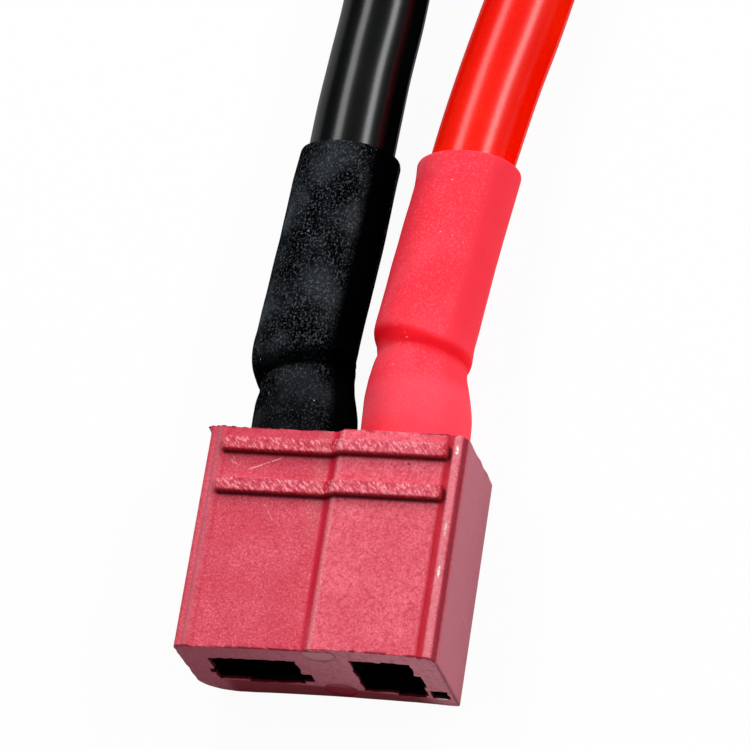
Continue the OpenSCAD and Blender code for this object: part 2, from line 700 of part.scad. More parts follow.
module male_negative_solder(plug) color([0.7, 0.71, 0.72])
    at_plug(plug) translate([flat_x, 0, blade_z]) mirror([0, 0, 1])
        solder_fillet(solder_start, tab_len - solder_stop, branch_core_r);
module male_positive_solder(plug) color([0.7, 0.71, 0.72])
    at_plug(plug) translate([blade_x + blade_t, 0, contact_z]) rotate([0, 90, 0])
        solder_fillet(solder_start, tab_len - solder_stop, branch_core_r);

module left_negative_solder() male_negative_solder(left_plug);
module right_negative_solder() male_negative_solder(right_plug);
module left_positive_solder() male_positive_solder(left_plug);
module right_positive_solder() male_positive_solder(right_plug);

// Strands of a light lead, from the splice barrel through the lead to the male tab
module branch_strands(route, trunk_route, side, plug, joint) {
    path = lead_path(route, branch_r);
    end = splice_mid(trunk_route);
    bore_end = end + [side * barrel_pitch, barrel_gap + barrel_len, 0];
    swept_rod(concat(
        [bore_end - [0, barrel_bore - bore_room, 0], bore_end + [0, 0.4, 0], lead_in(path)],
        path,
        [lead_out(path), [plug[0] + joint[0], plug[1] - tab_len - strand_bend, joint[1]],
         [plug[0] + joint[0], plug[1] - strand_gap, joint[1]]]
    ), branch_core_r, strand_sides);
}

module left_black_strands() color([0.8, 0.5, 0.35])
    branch_strands(left_black_route, black_trunk_route, -1, left_plug, male_negative_joint);
module right_black_strands() color([0.8, 0.5, 0.35])
    branch_strands(right_black_route, black_trunk_route, 1, right_plug, male_negative_joint);
module left_red_strands() color([0.8, 0.5, 0.35])
    branch_strands(left_red_route, red_trunk_route, -1, left_plug, male_positive_joint);
module right_red_strands() color([0.8, 0.5, 0.35])
    branch_strands(right_red_route, red_trunk_route, 1, right_plug, male_positive_joint);

// Shrunk sleeve at a male plug: along the lead, a neck that leans towards the strands,
// then a bulge over the joint. Both are [x from the plug's middle, z].
module branch_sleeve(route, plug, mid, strands) {
    shared = 3;
    tail = last_part(lead_path(route, branch_r), shared);
    end = tail[shared - 1];
    bulge = branch_bulge_d / 2;
    neck = branch_neck_d / 2;
    joint = [plug[0] + mid[0], plug[1], mid[1]];
    lean = 0.25;
    neck_gap = 1.1;
    path = concat(tail, [
        [end[0] + lean * (plug[0] + strands[0] - end[0]), end[1] + neck_gap,
         end[2] + lean * (strands[1] - end[2])],
        joint - [0, tab_len - 0.3, 0], joint - [0, tab_len / 2, 0], joint - [0, end_gap, 0]
    ]);
    outer = [branch_sleeve_r, branch_sleeve_r, branch_sleeve_r, neck, bulge - 0.02, bulge, bulge];
    swept_tube(path, [for (r = outer) [r, r]],
        [for (r = outer) [r - sleeve_wall, r - sleeve_wall]], sleeve_sides);
}

// Middles of the bulges, between each tab and its strands
negative_bulge = [flat_x, branch_bulge_d / 2 + 0.05];
positive_bulge = [blade_x + blade_t, contact_z - 0.05];

module left_black_sleeve() color([0.12, 0.12, 0.13])
    branch_sleeve(left_black_route, left_plug, negative_bulge, male_negative_joint);
module right_black_sleeve() color([0.12, 0.12, 0.13])
    branch_sleeve(right_black_route, right_plug, negative_bulge, male_negative_joint);
module left_red_sleeve() color([0.9, 0.22, 0.3])
    branch_sleeve(left_red_route, left_plug, positive_bulge, male_positive_joint);
module right_red_sleeve() color([0.9, 0.22, 0.3])
    branch_sleeve(right_red_route, right_plug, positive_bulge, male_positive_joint);

female_housing();
negative_strip();
positive_strip();
negative_leaf_spring();
positive_leaf_spring();
negative_solder();
positive_solder();
black_trunk_lead();
red_trunk_lead();
black_trunk_strands();
red_trunk_strands();
black_trunk_sleeve();
red_trunk_sleeve();
black_splice_barrel();
red_splice_barrel();
black_splice_sleeve();
red_splice_sleeve();
left_black_lead();
right_black_lead();
left_red_lead();
right_red_lead();
left_black_strands();
right_black_strands();
left_red_strands();
right_red_strands();
left_male_housing();
right_male_housing();
left_negative_blade();
right_negative_blade();
left_positive_blade();
right_positive_blade();
left_negative_solder();
right_negative_solder();
left_positive_solder();
right_positive_solder();
left_black_sleeve();
right_black_sleeve();
left_red_sleeve();
right_red_sleeve();
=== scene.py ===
"""Looks of the parallel battery harness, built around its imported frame.

Lengths are written in millimetres and scaled to metres by MM.
"""
import json
import math
from types import SimpleNamespace

import bmesh
import bpy
import numpy as np
from mathutils import Matrix, Vector, noise


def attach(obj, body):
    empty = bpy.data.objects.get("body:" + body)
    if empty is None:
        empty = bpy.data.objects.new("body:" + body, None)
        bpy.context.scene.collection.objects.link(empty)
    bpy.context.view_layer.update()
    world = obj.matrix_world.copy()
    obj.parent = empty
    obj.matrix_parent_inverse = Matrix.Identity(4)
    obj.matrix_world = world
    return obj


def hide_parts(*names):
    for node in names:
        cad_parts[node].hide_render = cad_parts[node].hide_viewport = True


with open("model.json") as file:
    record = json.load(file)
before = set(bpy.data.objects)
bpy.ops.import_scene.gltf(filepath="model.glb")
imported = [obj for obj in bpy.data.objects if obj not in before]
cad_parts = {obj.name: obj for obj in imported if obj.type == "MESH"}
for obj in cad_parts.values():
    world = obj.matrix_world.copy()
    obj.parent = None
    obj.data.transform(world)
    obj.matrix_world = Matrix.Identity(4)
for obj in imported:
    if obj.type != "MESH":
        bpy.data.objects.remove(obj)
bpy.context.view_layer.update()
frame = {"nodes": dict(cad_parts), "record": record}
MM = 0.001

# Camera, placed by the plug's corners in the photograph
RIGHT = Vector((0.96556, 0.14781, -0.21412))
DOWN = Vector((0.04922, -0.91186, -0.40754))
FORWARD = Vector((-0.25549, 0.38297, -0.88773))
CAMERA_PLACE = (0.103395, -0.141283, 0.360806)
LENS, SENSOR_WIDTH = 310.42, 36
NEAR_CLIP, FAR_CLIP = 0.01, 20
camera_data = bpy.data.cameras.new("camera")
camera_data.lens, camera_data.sensor_width = LENS, SENSOR_WIDTH
camera_data.clip_start, camera_data.clip_end = NEAR_CLIP, FAR_CLIP
camera = bpy.data.objects.new("camera", camera_data)
bpy.context.scene.collection.objects.link(camera)
turn = Matrix((RIGHT, -DOWN, -FORWARD)).transposed()
camera.matrix_world = Matrix.Translation(CAMERA_PLACE) @ turn.to_4x4()
bpy.context.scene.camera = camera

# Sizes that the looks share with the part's source
BACK_Y = 7.3
FRONT_Y = -7.3
TRUNK_R, TRUNK_CORE_R = 2.7, 1.45
BRANCH_R, BRANCH_CORE_R = 2.25, 1.2
STRAND_ROOM = 0.04
SLEEVE_FIT, SLEEVE_WALL, RED_SLEEVE_WALL = 0.09, 0.46, 0.38
SLEEVE_ROOM = SLEEVE_FIT + SLEEVE_WALL
TRUNK_SLEEVE_R = TRUNK_R + SLEEVE_ROOM
BRANCH_SLEEVE_R = BRANCH_R + SLEEVE_ROOM
BRANCH_BARE = 5.6
TAB_LEN = 3.6

# Routes: [x, distance behind the female housing, height of the lead's underside]
ROUTES = {
    "black_trunk": [
        (-4.05, 6, 1.1), (-4.05, 7.5, 1), (-3.92, 10, 0.84), (-3.78, 12.5, 0.73),
        (-3.62, 15.5, 0.64), (-3.39, 20, 0.58), (-3.33, 23.5, 0.36), (-3.2, 27, 0.14),
        (-2.96, 30.5, 0.03), (-2.8, 35, 0.01), (-2.75, 39.5, 0.05), (-2.8, 43.5, 0.3),
        (-2.9, 47, 0.6), (-3, 50.5, 0.65), (-3, 54, 0.65)],
    "red_trunk": [
        (3.4, 7.4, 1.05), (3.54, 9.5, 0.93), (3.75, 12, 0.8), (3.99, 14.5, 0.7),
        (4.26, 17, 0.63), (4.58, 19.8, 0.58), (4.95, 23, 0.36), (5.42, 26.5, 0.14),
        (6.08, 30.5, 0.03), (6.95, 35, 0.01), (7.7, 39.5, 0.05), (8.25, 43.5, 0.3),
        (8.55, 47, 0.6), (8.7, 50.5, 0.65), (8.7, 54, 0.65)],
    "left_black": [
        (-5.3, 69, 1.05), (-5.3, 73, 0.85), (-5.3, 77, 0.6), (-5.8, 81, 0.25),
        (-6.9, 86, 0.02), (-8.2, 91, 0.01), (-9.4, 96, 0.01), (-10.5, 101, 0.01),
        (-11.5, 106, 0.01), (-12.3, 111, 0.05), (-12.9, 117, 0.3), (-13.15, 122, 0.6),
        (-13.2, 127.5, 0.65), (-13.2, 133, 0.7)],
    "right_black": [
        (-0.7, 69, 1.05), (-0.7, 73, 0.85), (-0.7, 77, 0.6), (-0.6, 81, 0.25),
        (-0.2, 86, 0.02), (0.6, 91, 0.01), (1.7, 96, 0.01), (2.9, 101, 0.01),
        (4.1, 106, 0.01), (5.2, 111, 0.05), (6.2, 117, 0.3), (6.7, 122, 0.6),
        (6.8, 127.5, 0.65), (6.8, 133, 0.7)],
    "left_red": [
        (6.4, 69, 1.05), (6.4, 73, 0.85), (6.4, 77, 0.62), (5.9, 81, 1.2),
        (4.7, 86, 2.8), (3.2, 91, 4.2), (1.7, 96, 4.85), (0.1, 101, 4.6),
        (-1.4, 106, 3.5), (-2.7, 111, 2.2), (-3.9, 117, 1.1), (-4.4, 122, 0.9),
        (-4.6, 127.5, 1), (-4.6, 133, 1.15)],
    "right_red": [
        (11, 69, 1.05), (11, 73, 0.85), (11, 77, 0.6), (11.3, 81, 0.25),
        (11.9, 86, 0.02), (12.6, 91, 0.01), (13.3, 96, 0.01), (13.9, 101, 0.01),
        (14.4, 106, 0.01), (14.8, 111, 0.05), (15.2, 117, 0.35), (15.4, 122, 0.7),
        (15.4, 127.5, 0.95), (15.4, 133, 1.15)],
}


def lead_points(name):
    """Centreline of a lead in the row frame, in millimetres."""
    radius = TRUNK_R if "trunk" in name else BRANCH_R
    return [(x, BACK_Y + y, radius + lift) for x, y, lift in ROUTES[name]]


def eased(rows, step):
    """Rows of numbers, starting with a point, on one smooth curve through all of them.

    The numbers behind the point are sizes: they never pass those of the nearest rows.
    """
    rows = np.array(rows, float)
    gap = np.linalg.norm(np.diff(rows[:, :3], axis=0), axis=1)
    slope = np.diff(rows, axis=0) / gap[:, None]
    before, after = slope[:-1], slope[1:]
    middle = (gap[1:, None] * before + gap[:-1, None] * after) / (gap[1:] + gap[:-1])[:, None]
    calm = np.divide(2 * before * after, before + after, out=np.zeros_like(before),
                     where=before * after > 0)
    # The first three columns are the point, the others sizes
    middle[:, 3:] = calm[:, 3:]
    tangent = np.vstack([slope[:1], middle, slope[-1:]])
    out = []
    for i, length in enumerate(gap):
        count = max(1, round(length / step))
        for t in np.arange(count) / count:
            left = (1 + 2 * t) * rows[i] + t * length * tangent[i]
            right = (3 - 2 * t) * rows[i + 1] - (1 - t) * length * tangent[i + 1]
            out.append((1 - t) ** 2 * left + t ** 2 * right)
    return np.array(out + [rows[-1]])


def make_piece(name, verts, faces, uvs=None, smooth=True):
    """Closed mesh from points in millimetres, faces outward."""
    mesh = bpy.data.meshes.new(name)
    mesh.from_pydata([tuple(v) for v in np.asarray(verts) * MM], [], faces)
    if uvs is not None:
        layer = mesh.uv_layers.new(name="UVMap")
        layer.data.foreach_set("uv", np.asarray(uvs, np.float32).ravel())
    shell = bmesh.new()
    shell.from_mesh(mesh)
    bmesh.ops.recalc_face_normals(shell, faces=shell.faces)
    shell.to_mesh(mesh)
    shell.free()
    mesh.polygons.foreach_set("use_smooth", [smooth] * len(mesh.polygons))
    piece = bpy.data.objects.new(name, mesh)
    bpy.context.scene.collection.objects.link(piece)
    return piece


# Tubes: no point lies lower than LOWEST, so that none touches the floor
LOWEST = 0.01
LIP_STEPS = 3
# Painted shade where a tube widens like a ledge, and at its foot on the left
LEDGE_SLOPE = 0.25
FOOT_SHADE, FOOT_REACH = 0.8, 0.9
RIM_REACH = 2
FLATNESS = 4


def tube(name, rows, wall, sides, step, relief=None, skew=None, rim=None):
    """Tube along rows [x, y, z, half width, half height], with rounded lips.

    relief(along, angle) gives the outer skin's own unevenness in millimetres, and
    skew(angle) how far along the tube the sizes are read ahead on that side. rim(angle)
    moves the rim of the far end along the tube and outward. The attribute crease marks
    where the tube widens like a ledge, and its foot on the left, for painted shade.
    """
    rows = eased(rows, step)
    path, half = rows[:, :3], rows[:, 3:]
    ahead = np.gradient(path, axis=0)
    ahead /= np.linalg.norm(ahead, axis=1)[:, None]
    side = np.cross(ahead, (0, 0, 1))
    side /= np.linalg.norm(side, axis=1)[:, None]
    above = np.cross(side, ahead)
    along = np.concatenate([[0], np.cumsum(np.linalg.norm(np.diff(path, axis=0), axis=1))])
    last = len(path) - 1
    angles = [2 * math.pi * k / sides for k in range(sides)]
    sizes = [[np.interp(along + (skew(a) if skew else 0), along, half[:, c]) for c in (0, 1)]
             for a in angles]
    # Painted shade, marked for the finish: ledges where the tube widens, and its foot on the left
    at_foot = FOOT_SHADE * np.exp(-(along / FOOT_REACH) ** 2)
    ledge_shades = [np.clip(np.gradient(high, along) / LEDGE_SLOPE + at_foot * max(0, -math.cos(a)), 0, 1)
               for a, (_, high) in zip(angles, sizes)]
    near_end = np.clip(1 - (along[-1] - along) / RIM_REACH, 0, 1)
    rims = [rim(a) if rim else (0, 0) for a in angles]
    # The section of the wall, as [station, shift along, shift outward], once round
    turns = [math.pi * (i + 0.5) / LIP_STEPS for i in range(LIP_STEPS)]
    section = [(i, 0, 0) for i in range(last + 1)]
    section += [(last, math.sin(a) * wall / 2, (math.cos(a) - 1) * wall / 2) for a in turns]
    section += [(i, 0, -wall) for i in range(last, -1, -1)]
    section += [(0, -math.sin(a) * wall / 2, (-math.cos(a) - 1) * wall / 2) for a in turns]
    verts, marks, dips = [], [], []
    for i, shift, out in section:
        for a, (wide, high), ledge_shade, (cut, flare) in zip(angles, sizes, ledge_shades, rims):
            extra = relief(along[i], a) if relief and out > -wall else 0
            r = high[i] + out + extra + flare * near_end[i]
            moved = shift + cut * near_end[i]
            widening = (wide[i] - high[i]) * math.tanh(FLATNESS * math.cos(a))
            point = (path[i] + ahead[i] * moved + above[i] * r * math.sin(a)
                     + side[i] * (r * math.cos(a) + widening))
            verts.append((point[0], point[1], max(LOWEST, point[2])))
            dips.append(ledge_shade[i])
        marks.append(along[i] + shift)
    faces, uvs = [], []
    count = len(section)
    for j in range(count):
        m = (j + 1) % count
        for k in range(sides):
            n = (k + 1) % sides
            faces.append((j * sides + k, m * sides + k, m * sides + n, j * sides + n))
            u0, u1 = k / sides, (k + 1) / sides
            uvs += [(u0, marks[j]), (u0, marks[m]), (u1, marks[m]), (u1, marks[j])]
    piece = make_piece(name, verts, faces, uvs)
    piece.data.attributes.new("ledge_shade", "FLOAT", "POINT").data.foreach_set("value", dips)
    return piece


# Leads, and by row of the route the shift in x and the growth of the radius
LEAD_SIDES, LEAD_STEP = 48, 0.6
LEAD_NUDGES = {
    "black_trunk": {i: (0, 0.04) for i in range(7)},
    "red_trunk": {5: (-0.07, -0.04), 6: (-0.07, -0.015), 7: (-0.04, 0), 8: (0.04, 0.035)},
}
leads = {}
for name in ROUTES:
    radius, core = (TRUNK_R, TRUNK_CORE_R) if "trunk" in name else (BRANCH_R, BRANCH_CORE_R)
    rows = [(*p, radius, radius) for p in lead_points(name)]
    for i, (shift, swell) in LEAD_NUDGES.get(name, {}).items():
        x, y, z = rows[i][:3]
        rows[i] = (x + shift, y, z, radius + swell, radius + swell)
    leads[name] = tube(name + "_lead_skin", rows, radius - core - STRAND_ROOM,
                       sides=LEAD_SIDES, step=LEAD_STEP)


# Shader helpers
def linear(red, green, blue):
    """Linear colour from the 0 to 255 values that it should show."""
    return tuple(((c / 255 + 0.055) / 1.055) ** 2.4 if c > 10 else c / 255 / 12.92
                 for c in (red, green, blue)) + (1,)


class Socket:
    """A shader socket on which sums can be written."""

    def __init__(self, maker, socket):
        self.maker, self.socket = maker, socket

    def _math(self, operation, *values):
        return self.maker.node("ShaderNodeMath", {"operation": operation}, dict(enumerate(values)))

    def __add__(self, other):
        return self._math("ADD", self, other)

    def __sub__(self, other):
        return self._math("SUBTRACT", self, other)

    def __rsub__(self, other):
        return self._math("SUBTRACT", other, self)

    def __mul__(self, other):
        return self._math("MULTIPLY", self, other)

    def __gt__(self, other):
        return self._math("GREATER_THAN", self, other)

    def between(self, low, high):
        """0 below low, 1 above high, smooth in between; low may be the larger one."""
        return self.maker.node(
            "ShaderNodeMapRange", {"interpolation_type": "SMOOTHSTEP"},
            {"Value": self, "From Min": low, "From Max": high, "To Min": 0.0, "To Max": 1.0},
            "Result")

    def __truediv__(self, other):
        return self._math("DIVIDE", self, other)

    def __rtruediv__(self, other):
        return self._math("DIVIDE", other, self)

    def __lt__(self, other):
        return self._math("LESS_THAN", self, other)

    def sine(self):
        return self._math("SINE", self)

    def cosine(self):
        return self._math("COSINE", self)

    __radd__ = __add__
    __rmul__ = __mul__


class Maker:
    """Builds the nodes of one tree."""

    def __init__(self, tree):
        self.tree = tree

    def node(self, kind, settings=None, values=None, out=0):
        """A new node's output; values are numbers, or sockets that are linked."""
        made = self.tree.nodes.new(kind)
        for key, value in (settings or {}).items():
            setattr(made, key, value)
        for key, value in (values or {}).items():
            if isinstance(value, Socket):
                self.tree.links.new(value.socket, made.inputs[key])
            else:
                made.inputs[key].default_value = value
        return Socket(self, made.outputs[out])

    def link(self, source, target):
        self.tree.links.new(source.socket, target)


class Finish(Maker):
    """Builds one material."""

    def __init__(self, name):
        self.material = bpy.data.materials.new(name)
        self.material.use_nodes = True
        super().__init__(self.material.node_tree)
        self.tree.nodes.clear()
        self.output = self.tree.nodes.new("ShaderNodeOutputMaterial")

    def place(self, scale=(1, 1, 1), turn=(0, 0, 0), uv=False):
        """Object or UV coordinates, scaled and turned."""
        source = self.node("ShaderNodeTexCoord", out="UV" if uv else "Object")
        return self.node("ShaderNodeMapping", values={"Vector": source, "Scale": scale, "Rotation": turn})

    def axes(self, vector):
        """The three parts of a vector."""
        parts = self.tree.nodes.new("ShaderNodeSeparateXYZ")
        self.tree.links.new(vector.socket, parts.inputs[0])
        return [Socket(self, s) for s in parts.outputs]

    def noise(self, vector, scale, detail=2.0, rough=0.5):
        return self.node("ShaderNodeTexNoise", values={
            "Vector": vector, "Scale": scale, "Detail": detail, "Roughness": rough})

    def attribute(self, name, out="Fac"):
        """Numbers that a mesh holds at its points."""
        return self.node("ShaderNodeAttribute", {"attribute_name": name}, out=out)

    def blend(self, factor, first, second):
        """The first colour, with the second over it by the factor."""
        return self.node("ShaderNodeMix", {"data_type": "RGBA"}, {0: factor, 6: first, 7: second}, out=2)

    def bump(self, height, distance, strength):
        return self.node("ShaderNodeBump", values={
            "Height": height, "Distance": distance, "Strength": strength})

    def finish(self, **values):
        """The surface: sockets of the principled shader, by name with _ for a space."""
        made = {key.replace("_", " "): value for key, value in values.items()}
        self.link(self.node("ShaderNodeBsdfPrincipled", values=made, out="BSDF"),
                  self.output.inputs["Surface"])
        return self.material


# Plug housings: sizes in millimetres, as in the part's source
HALF_W, THICK_H, THIN_H = 8.25, 7.9, 7.4
STEP_X, STEP_W = 0.15, 0.65
RIB_H, RIB_END, RIB_HALF_W, RIB_CORNER_R = 0.5, 7.25, 0.5, 0.3
RIB_INSET, RIB_PITCH = 1.25, 2.75
BIG_CORNER_W, BIG_CORNER_H = 2.7, 2.1
SMALL_CORNER_R, UPPER_CORNER_R = 0.3, 1.15
SIDE_LEAN, LEAN_TOP = 0.18, 7
EDGE, ROUNDING = 0.1, 0.05
LEFT_BEAD_X, LEFT_BEAD_R, LEFT_BEAD_RISE = -7.5, 0.4, 0.1
RIGHT_BEAD_X, RIGHT_BEAD_R, RIGHT_BEAD_RISE = 7.68, 0.34, -0.09
GROOVE_X, GROOVE_R, GROOVE_RISE = 7.28, 0.2, 0.02
MALE_LEN = 8


def face_height(x):
    """Height of the two halves of the upper face and the strip between them."""
    t = min(1, max(0, (x - STEP_X) / STEP_W + 0.5))
    return THIN_H + (THICK_H - THIN_H) * t


def round_off(distance, radius):
    """Drop of a round corner at this distance from its side."""
    gap = max(0, radius - distance)
    return radius - math.sqrt(max(0, radius * radius - gap * gap))


def upper_height(x):
    """Height of the upper face with its corners, beads and groove."""
    z = face_height(x) - round_off(HALF_W + x, SMALL_CORNER_R) - round_off(HALF_W - x, UPPER_CORNER_R)
    for middle, radius, top in ((LEFT_BEAD_X, LEFT_BEAD_R, THIN_H + LEFT_BEAD_RISE),
                                (RIGHT_BEAD_X, RIGHT_BEAD_R, THICK_H + RIGHT_BEAD_RISE)):
        if abs(x - middle) < radius:
            z = max(z, top - radius + math.sqrt(radius ** 2 - (x - middle) ** 2))
    off_groove = abs(x - GROOVE_X)
    if off_groove < GROOVE_R:
        z = min(z, THICK_H + GROOVE_RISE - math.sqrt(GROOVE_R ** 2 - off_groove ** 2))
    return z


def softly(height, x):
    """Mean of a height around x, so that moulded edges are a little round."""
    return sum(height(x + ROUNDING * share) for share in (-1, -0.5, 0, 0.5, 1)) / 5


def spread(*stops):
    """Numbers from stop to stop, given as start, spacing, next, spacing and so on."""
    out = []
    for start, gap, end in zip(stops[::2], stops[1::2], stops[2::2]):
        count = max(1, round(abs(end - start) / gap))
        out += [start + (end - start) * i / count for i in range(count)]
    return out + [stops[-1]]


RIB_SLOPE_W = 0.03
FLANK_PLACE, FLANK_W = 0.02, 0.13
REAR_PLACE, REAR_W = -0.06, 0.05


def rib_shape(x, y, ribs):
    """1 on top of a grip rib and 0 off it, then how far a spot is on its flank that
    faces the mating face or the right, where the finish paints shade, and on the edge
    of its rear flank."""
    best = (math.inf, 0, 0)
    for middle in ribs:
        gap_x = abs(x) - RIB_END + RIB_CORNER_R
        gap_y = abs(y - middle) - RIB_HALF_W + RIB_CORNER_R
        outside = math.hypot(max(gap_x, 0), max(gap_y, 0)) + min(max(gap_x, gap_y), 0) - RIB_CORNER_R
        way = (math.copysign(max(gap_x, 0), x), math.copysign(max(gap_y, 0), y - middle))
        best = min(best, (outside, *way))
    outside, way_x, way_y = best
    length = math.hypot(way_x, way_y) or 1
    share = 0.5 - 0.5 * math.tanh(0.5 * outside / RIB_SLOPE_W)
    flank = math.exp(-((outside - FLANK_PLACE) / FLANK_W) ** 2) * min(1, max(0, -way_y, way_x) / length)
    rear = math.exp(-((outside - REAR_PLACE) / REAR_W) ** 2) * max(0, way_y) / length
    return share, flank, rear


BOW_REACH, TAPER_FROM = 2, 4


def bowed(x, y, y0, bow):
    """How far the sides of the mating face y0 stand in front of its middle."""
    return bow * (x / HALF_W) ** 2 * np.clip(1 - (y - y0) / BOW_REACH, 0, 1)


def tapered(x, y, y0, y1, taper):
    """How far the moulding's sides stand to the right of straight ones.

    It narrows on the left by taper towards the back face y1, and widens on the right by
    taper towards the mating face y0.
    """
    back = (y - y0) / (y1 - y0)
    left, right = np.clip(-x / TAPER_FROM, 0, 1), np.clip(x / TAPER_FROM, 0, 1)
    return taper * (back * left + (1 - back) * right)


def mark_places(piece, y0, y1, taper=0.0, bow=0.0):
    """Stores each point's place on a straight plug whose mating face is at FRONT_Y."""
    flat = np.empty(len(piece.data.vertices) * 3)
    piece.data.vertices.foreach_get("co", flat)
    x, y, z = flat.reshape(-1, 3).T / MM
    straight_x = x - tapered(x, y, y0, y1, taper)
    straight_y = y + bowed(x, y, y0, bow) + FRONT_Y - y0
    place = np.stack([straight_x, straight_y, z], axis=1)
    layer = piece.data.attributes.new("place", "FLOAT_VECTOR", "POINT")
    layer.data.foreach_set("vector", place.ravel())


def plug_section():
    """Outline of a plug, with each point's way outward and whether it is on the upper face."""
    foot_x = SIDE_LEAN - HALF_W
    corner = [(foot_x + BIG_CORNER_W * (1 - math.sin(a)), BIG_CORNER_H * (1 - math.cos(a)))
              for a in np.linspace(math.pi / 2, 0, 14)]
    low = [(x, 0) for x in spread(foot_x + BIG_CORNER_W + 0.6, 1, 7.5)]
    foot = [(HALF_W - SMALL_CORNER_R * (1 - math.sin(a)), SMALL_CORNER_R * (1 - math.cos(a)))
            for a in np.linspace(0, math.pi / 2, 6)]
    wall = [(HALF_W, z) for z in spread(1, 1, 6)]
    arc = [HALF_W - UPPER_CORNER_R * (1 - math.cos(a)) for a in np.linspace(0, 0.9, 12)[:-1]]
    # Points lie close together at the beads, the slanted strip and the left corner
    top_x = arc + spread(7.8, 0.05, 6.6, 0.25, 0.8, 0.06, -0.5, 0.25, -6.6, 0.05, -8.0, 0.03, -HALF_W)
    top = [(x, softly(upper_height, x) if -8.2 < x < 8 else upper_height(x)) for x in top_x]
    lean = [(-HALF_W + SIDE_LEAN * t, LEAN_TOP + (BIG_CORNER_H - LEAN_TOP) * t)
            for t in np.linspace(0, 1, 14)[:-1]]
    before_top = corner + low + foot + wall
    loop = np.array(before_top + top + lean)
    is_top = np.zeros(len(loop), bool)
    is_top[len(before_top):len(before_top) + len(top)] = True
    tangent = np.roll(loop, -1, axis=0) - np.roll(loop, 1, axis=0)
    tangent /= np.linalg.norm(tangent, axis=1)[:, None]
    outward = np.stack([tangent[:, 1], -tangent[:, 0]], axis=1)
    return loop, outward, is_top


def plug_stations(y0, y1, ribs):
    """Where a plug's outline is repeated, as [y, inset], with rounded ends."""
    turns = [(1 - math.cos(a), 1 - math.sin(a)) for a in np.linspace(0, math.pi / 2, 4)]
    front = [(y0 + EDGE * s, EDGE * i) for s, i in turns]
    middle = spread(y0 + 0.4, 0.5, min(ribs) - 0.8, 0.045, max(ribs) + 0.8)[:-1]
    back = [(y1 - EDGE * s, EDGE * i) for s, i in reversed(turns)]
    return front + [(y, 0) for y in middle if y < y1 - EDGE] + back


def ring_faces(stations, count):
    """Faces of a closed body through that many rings of count points."""
    faces = [tuple(range(count)), tuple(range((stations - 1) * count, stations * count))]
    for j in range(stations - 1):
        for k in range(count):
            m = (k + 1) % count
            faces.append((j * count + k, j * count + m, (j + 1) * count + m, (j + 1) * count + k))
    return faces


# Edges: how ragged they are, and how much more they are rounded off where worn
RAG_SCALE, FINE_RAG_SCALE, RAG_SHARE, FINE_RAG_SHARE = 3, 2.9, 0.8, 0.7
WORN_LEN, WORN_DROP, UNDERSIDE_DROP = 1, 1.8, 0.5
BURR_X_REACH, BURR_Z_REACH, BURR_LEN, BURR_DOWN = 0.25, 0.45, 0.5, 0.5


def plug_skin(name, y0, y1, taper=0.0, bow=0.0, burr=0.0):
    """Outer skin of a plug from its mating face y0 to its back face y1, with ribs.

    burr is the height of the torn bit of plastic below the upper left corner of the
    back face.
    """
    loop, outward, is_top = plug_section()
    ribs = [y1 - RIB_INSET, y1 - RIB_INSET - RIB_PITCH]
    stations = plug_stations(y0, y1, ribs)
    verts, on_ribs = [], []
    for y, inset in stations:
        worn = WORN_DROP if y > y1 - WORN_LEN else 1
        burr_here = burr * max(0, 1 - (y1 - y) / BURR_LEN)
        for (x, z), (nx, nz), upper in zip(loop, outward, is_top):
            spot = Vector((x * RAG_SCALE, z * RAG_SCALE, y))
            ragged = EDGE * (RAG_SHARE * noise.noise(spot)
                             + FINE_RAG_SHARE * noise.noise(spot * FINE_RAG_SCALE)) if inset else 0
            drop = (inset + ragged) * (1 if z > 2 else UNDERSIDE_DROP) * (worn if x < 0 else 1)
            px, pz = x - nx * drop + tapered(x, y, y0, y1, taper), max(0, z - nz * drop)
            share, flank, rear = rib_shape(x, y, ribs) if upper else (0, 0, 0)
            if share > 0.001:
                pz = pz * (1 - share) + (softly(face_height, x) + RIB_H) * share
            near_x, near_z = (x + HALF_W) / BURR_X_REACH, (z - THIN_H + BURR_DOWN) / BURR_Z_REACH
            px -= burr_here * math.exp(-near_x ** 2 - near_z ** 2)
            verts.append((px, y - bowed(x, y, y0, bow), pz))
            on_ribs.append((share, flank, rear))
    piece = make_piece(name, verts, ring_faces(len(stations), len(loop)))
    halve(piece)
    for key, values in zip(("rib", "flank", "rear"), zip(*on_ribs)):
        piece.data.attributes.new(key, "FLOAT", "POINT").data.foreach_set("value", values)
    return piece


TORN_STEP, TORN_SIZE, TORN_SCALE, TORN_SEED = 0.2, 0.12, 2.3, 4.7


def torn(outline):
    """An outline with its sides broken up, as where flash was torn off."""
    pts = []
    for p, q in zip(outline, outline[1:] + outline[:1]):
        p, way = np.array(p, float), np.subtract(q, p)
        length = np.linalg.norm(way)
        across = np.array((way[1], -way[0])) / length
        count = max(2, round(length / TORN_STEP))
        for i in range(count):
            spot = p + way * i / count
            off = TORN_SIZE * noise.noise(Vector((*(spot * TORN_SCALE), TORN_SEED))) if i else 0
            pts.append(tuple(spot + across * off))
    return pts


LEAST_MITRE = 0.6


def grown(outline, amount, corner=0.0):
    """An outline, grown outward, with its corners cut off by this much."""
    pts = np.array(outline, float)
    before = pts - np.roll(pts, 1, axis=0)
    after = np.roll(pts, -1, axis=0) - pts
    before /= np.linalg.norm(before, axis=1)[:, None]
    after /= np.linalg.norm(after, axis=1)[:, None]
    shift = np.stack([before[:, 1] + after[:, 1], -before[:, 0] - after[:, 0]], axis=1)
    # A sharp point isn't drawn out further than LEAST_MITRE allows
    mitre = np.maximum(LEAST_MITRE, 1 + (before * after).sum(axis=1))
    pts = pts + shift * amount / mitre[:, None]
    if not corner:
        return [tuple(p) for p in pts]
    return [q for p, b, a in zip(pts, before, after) for q in (p - b * corner, p + a * corner)]


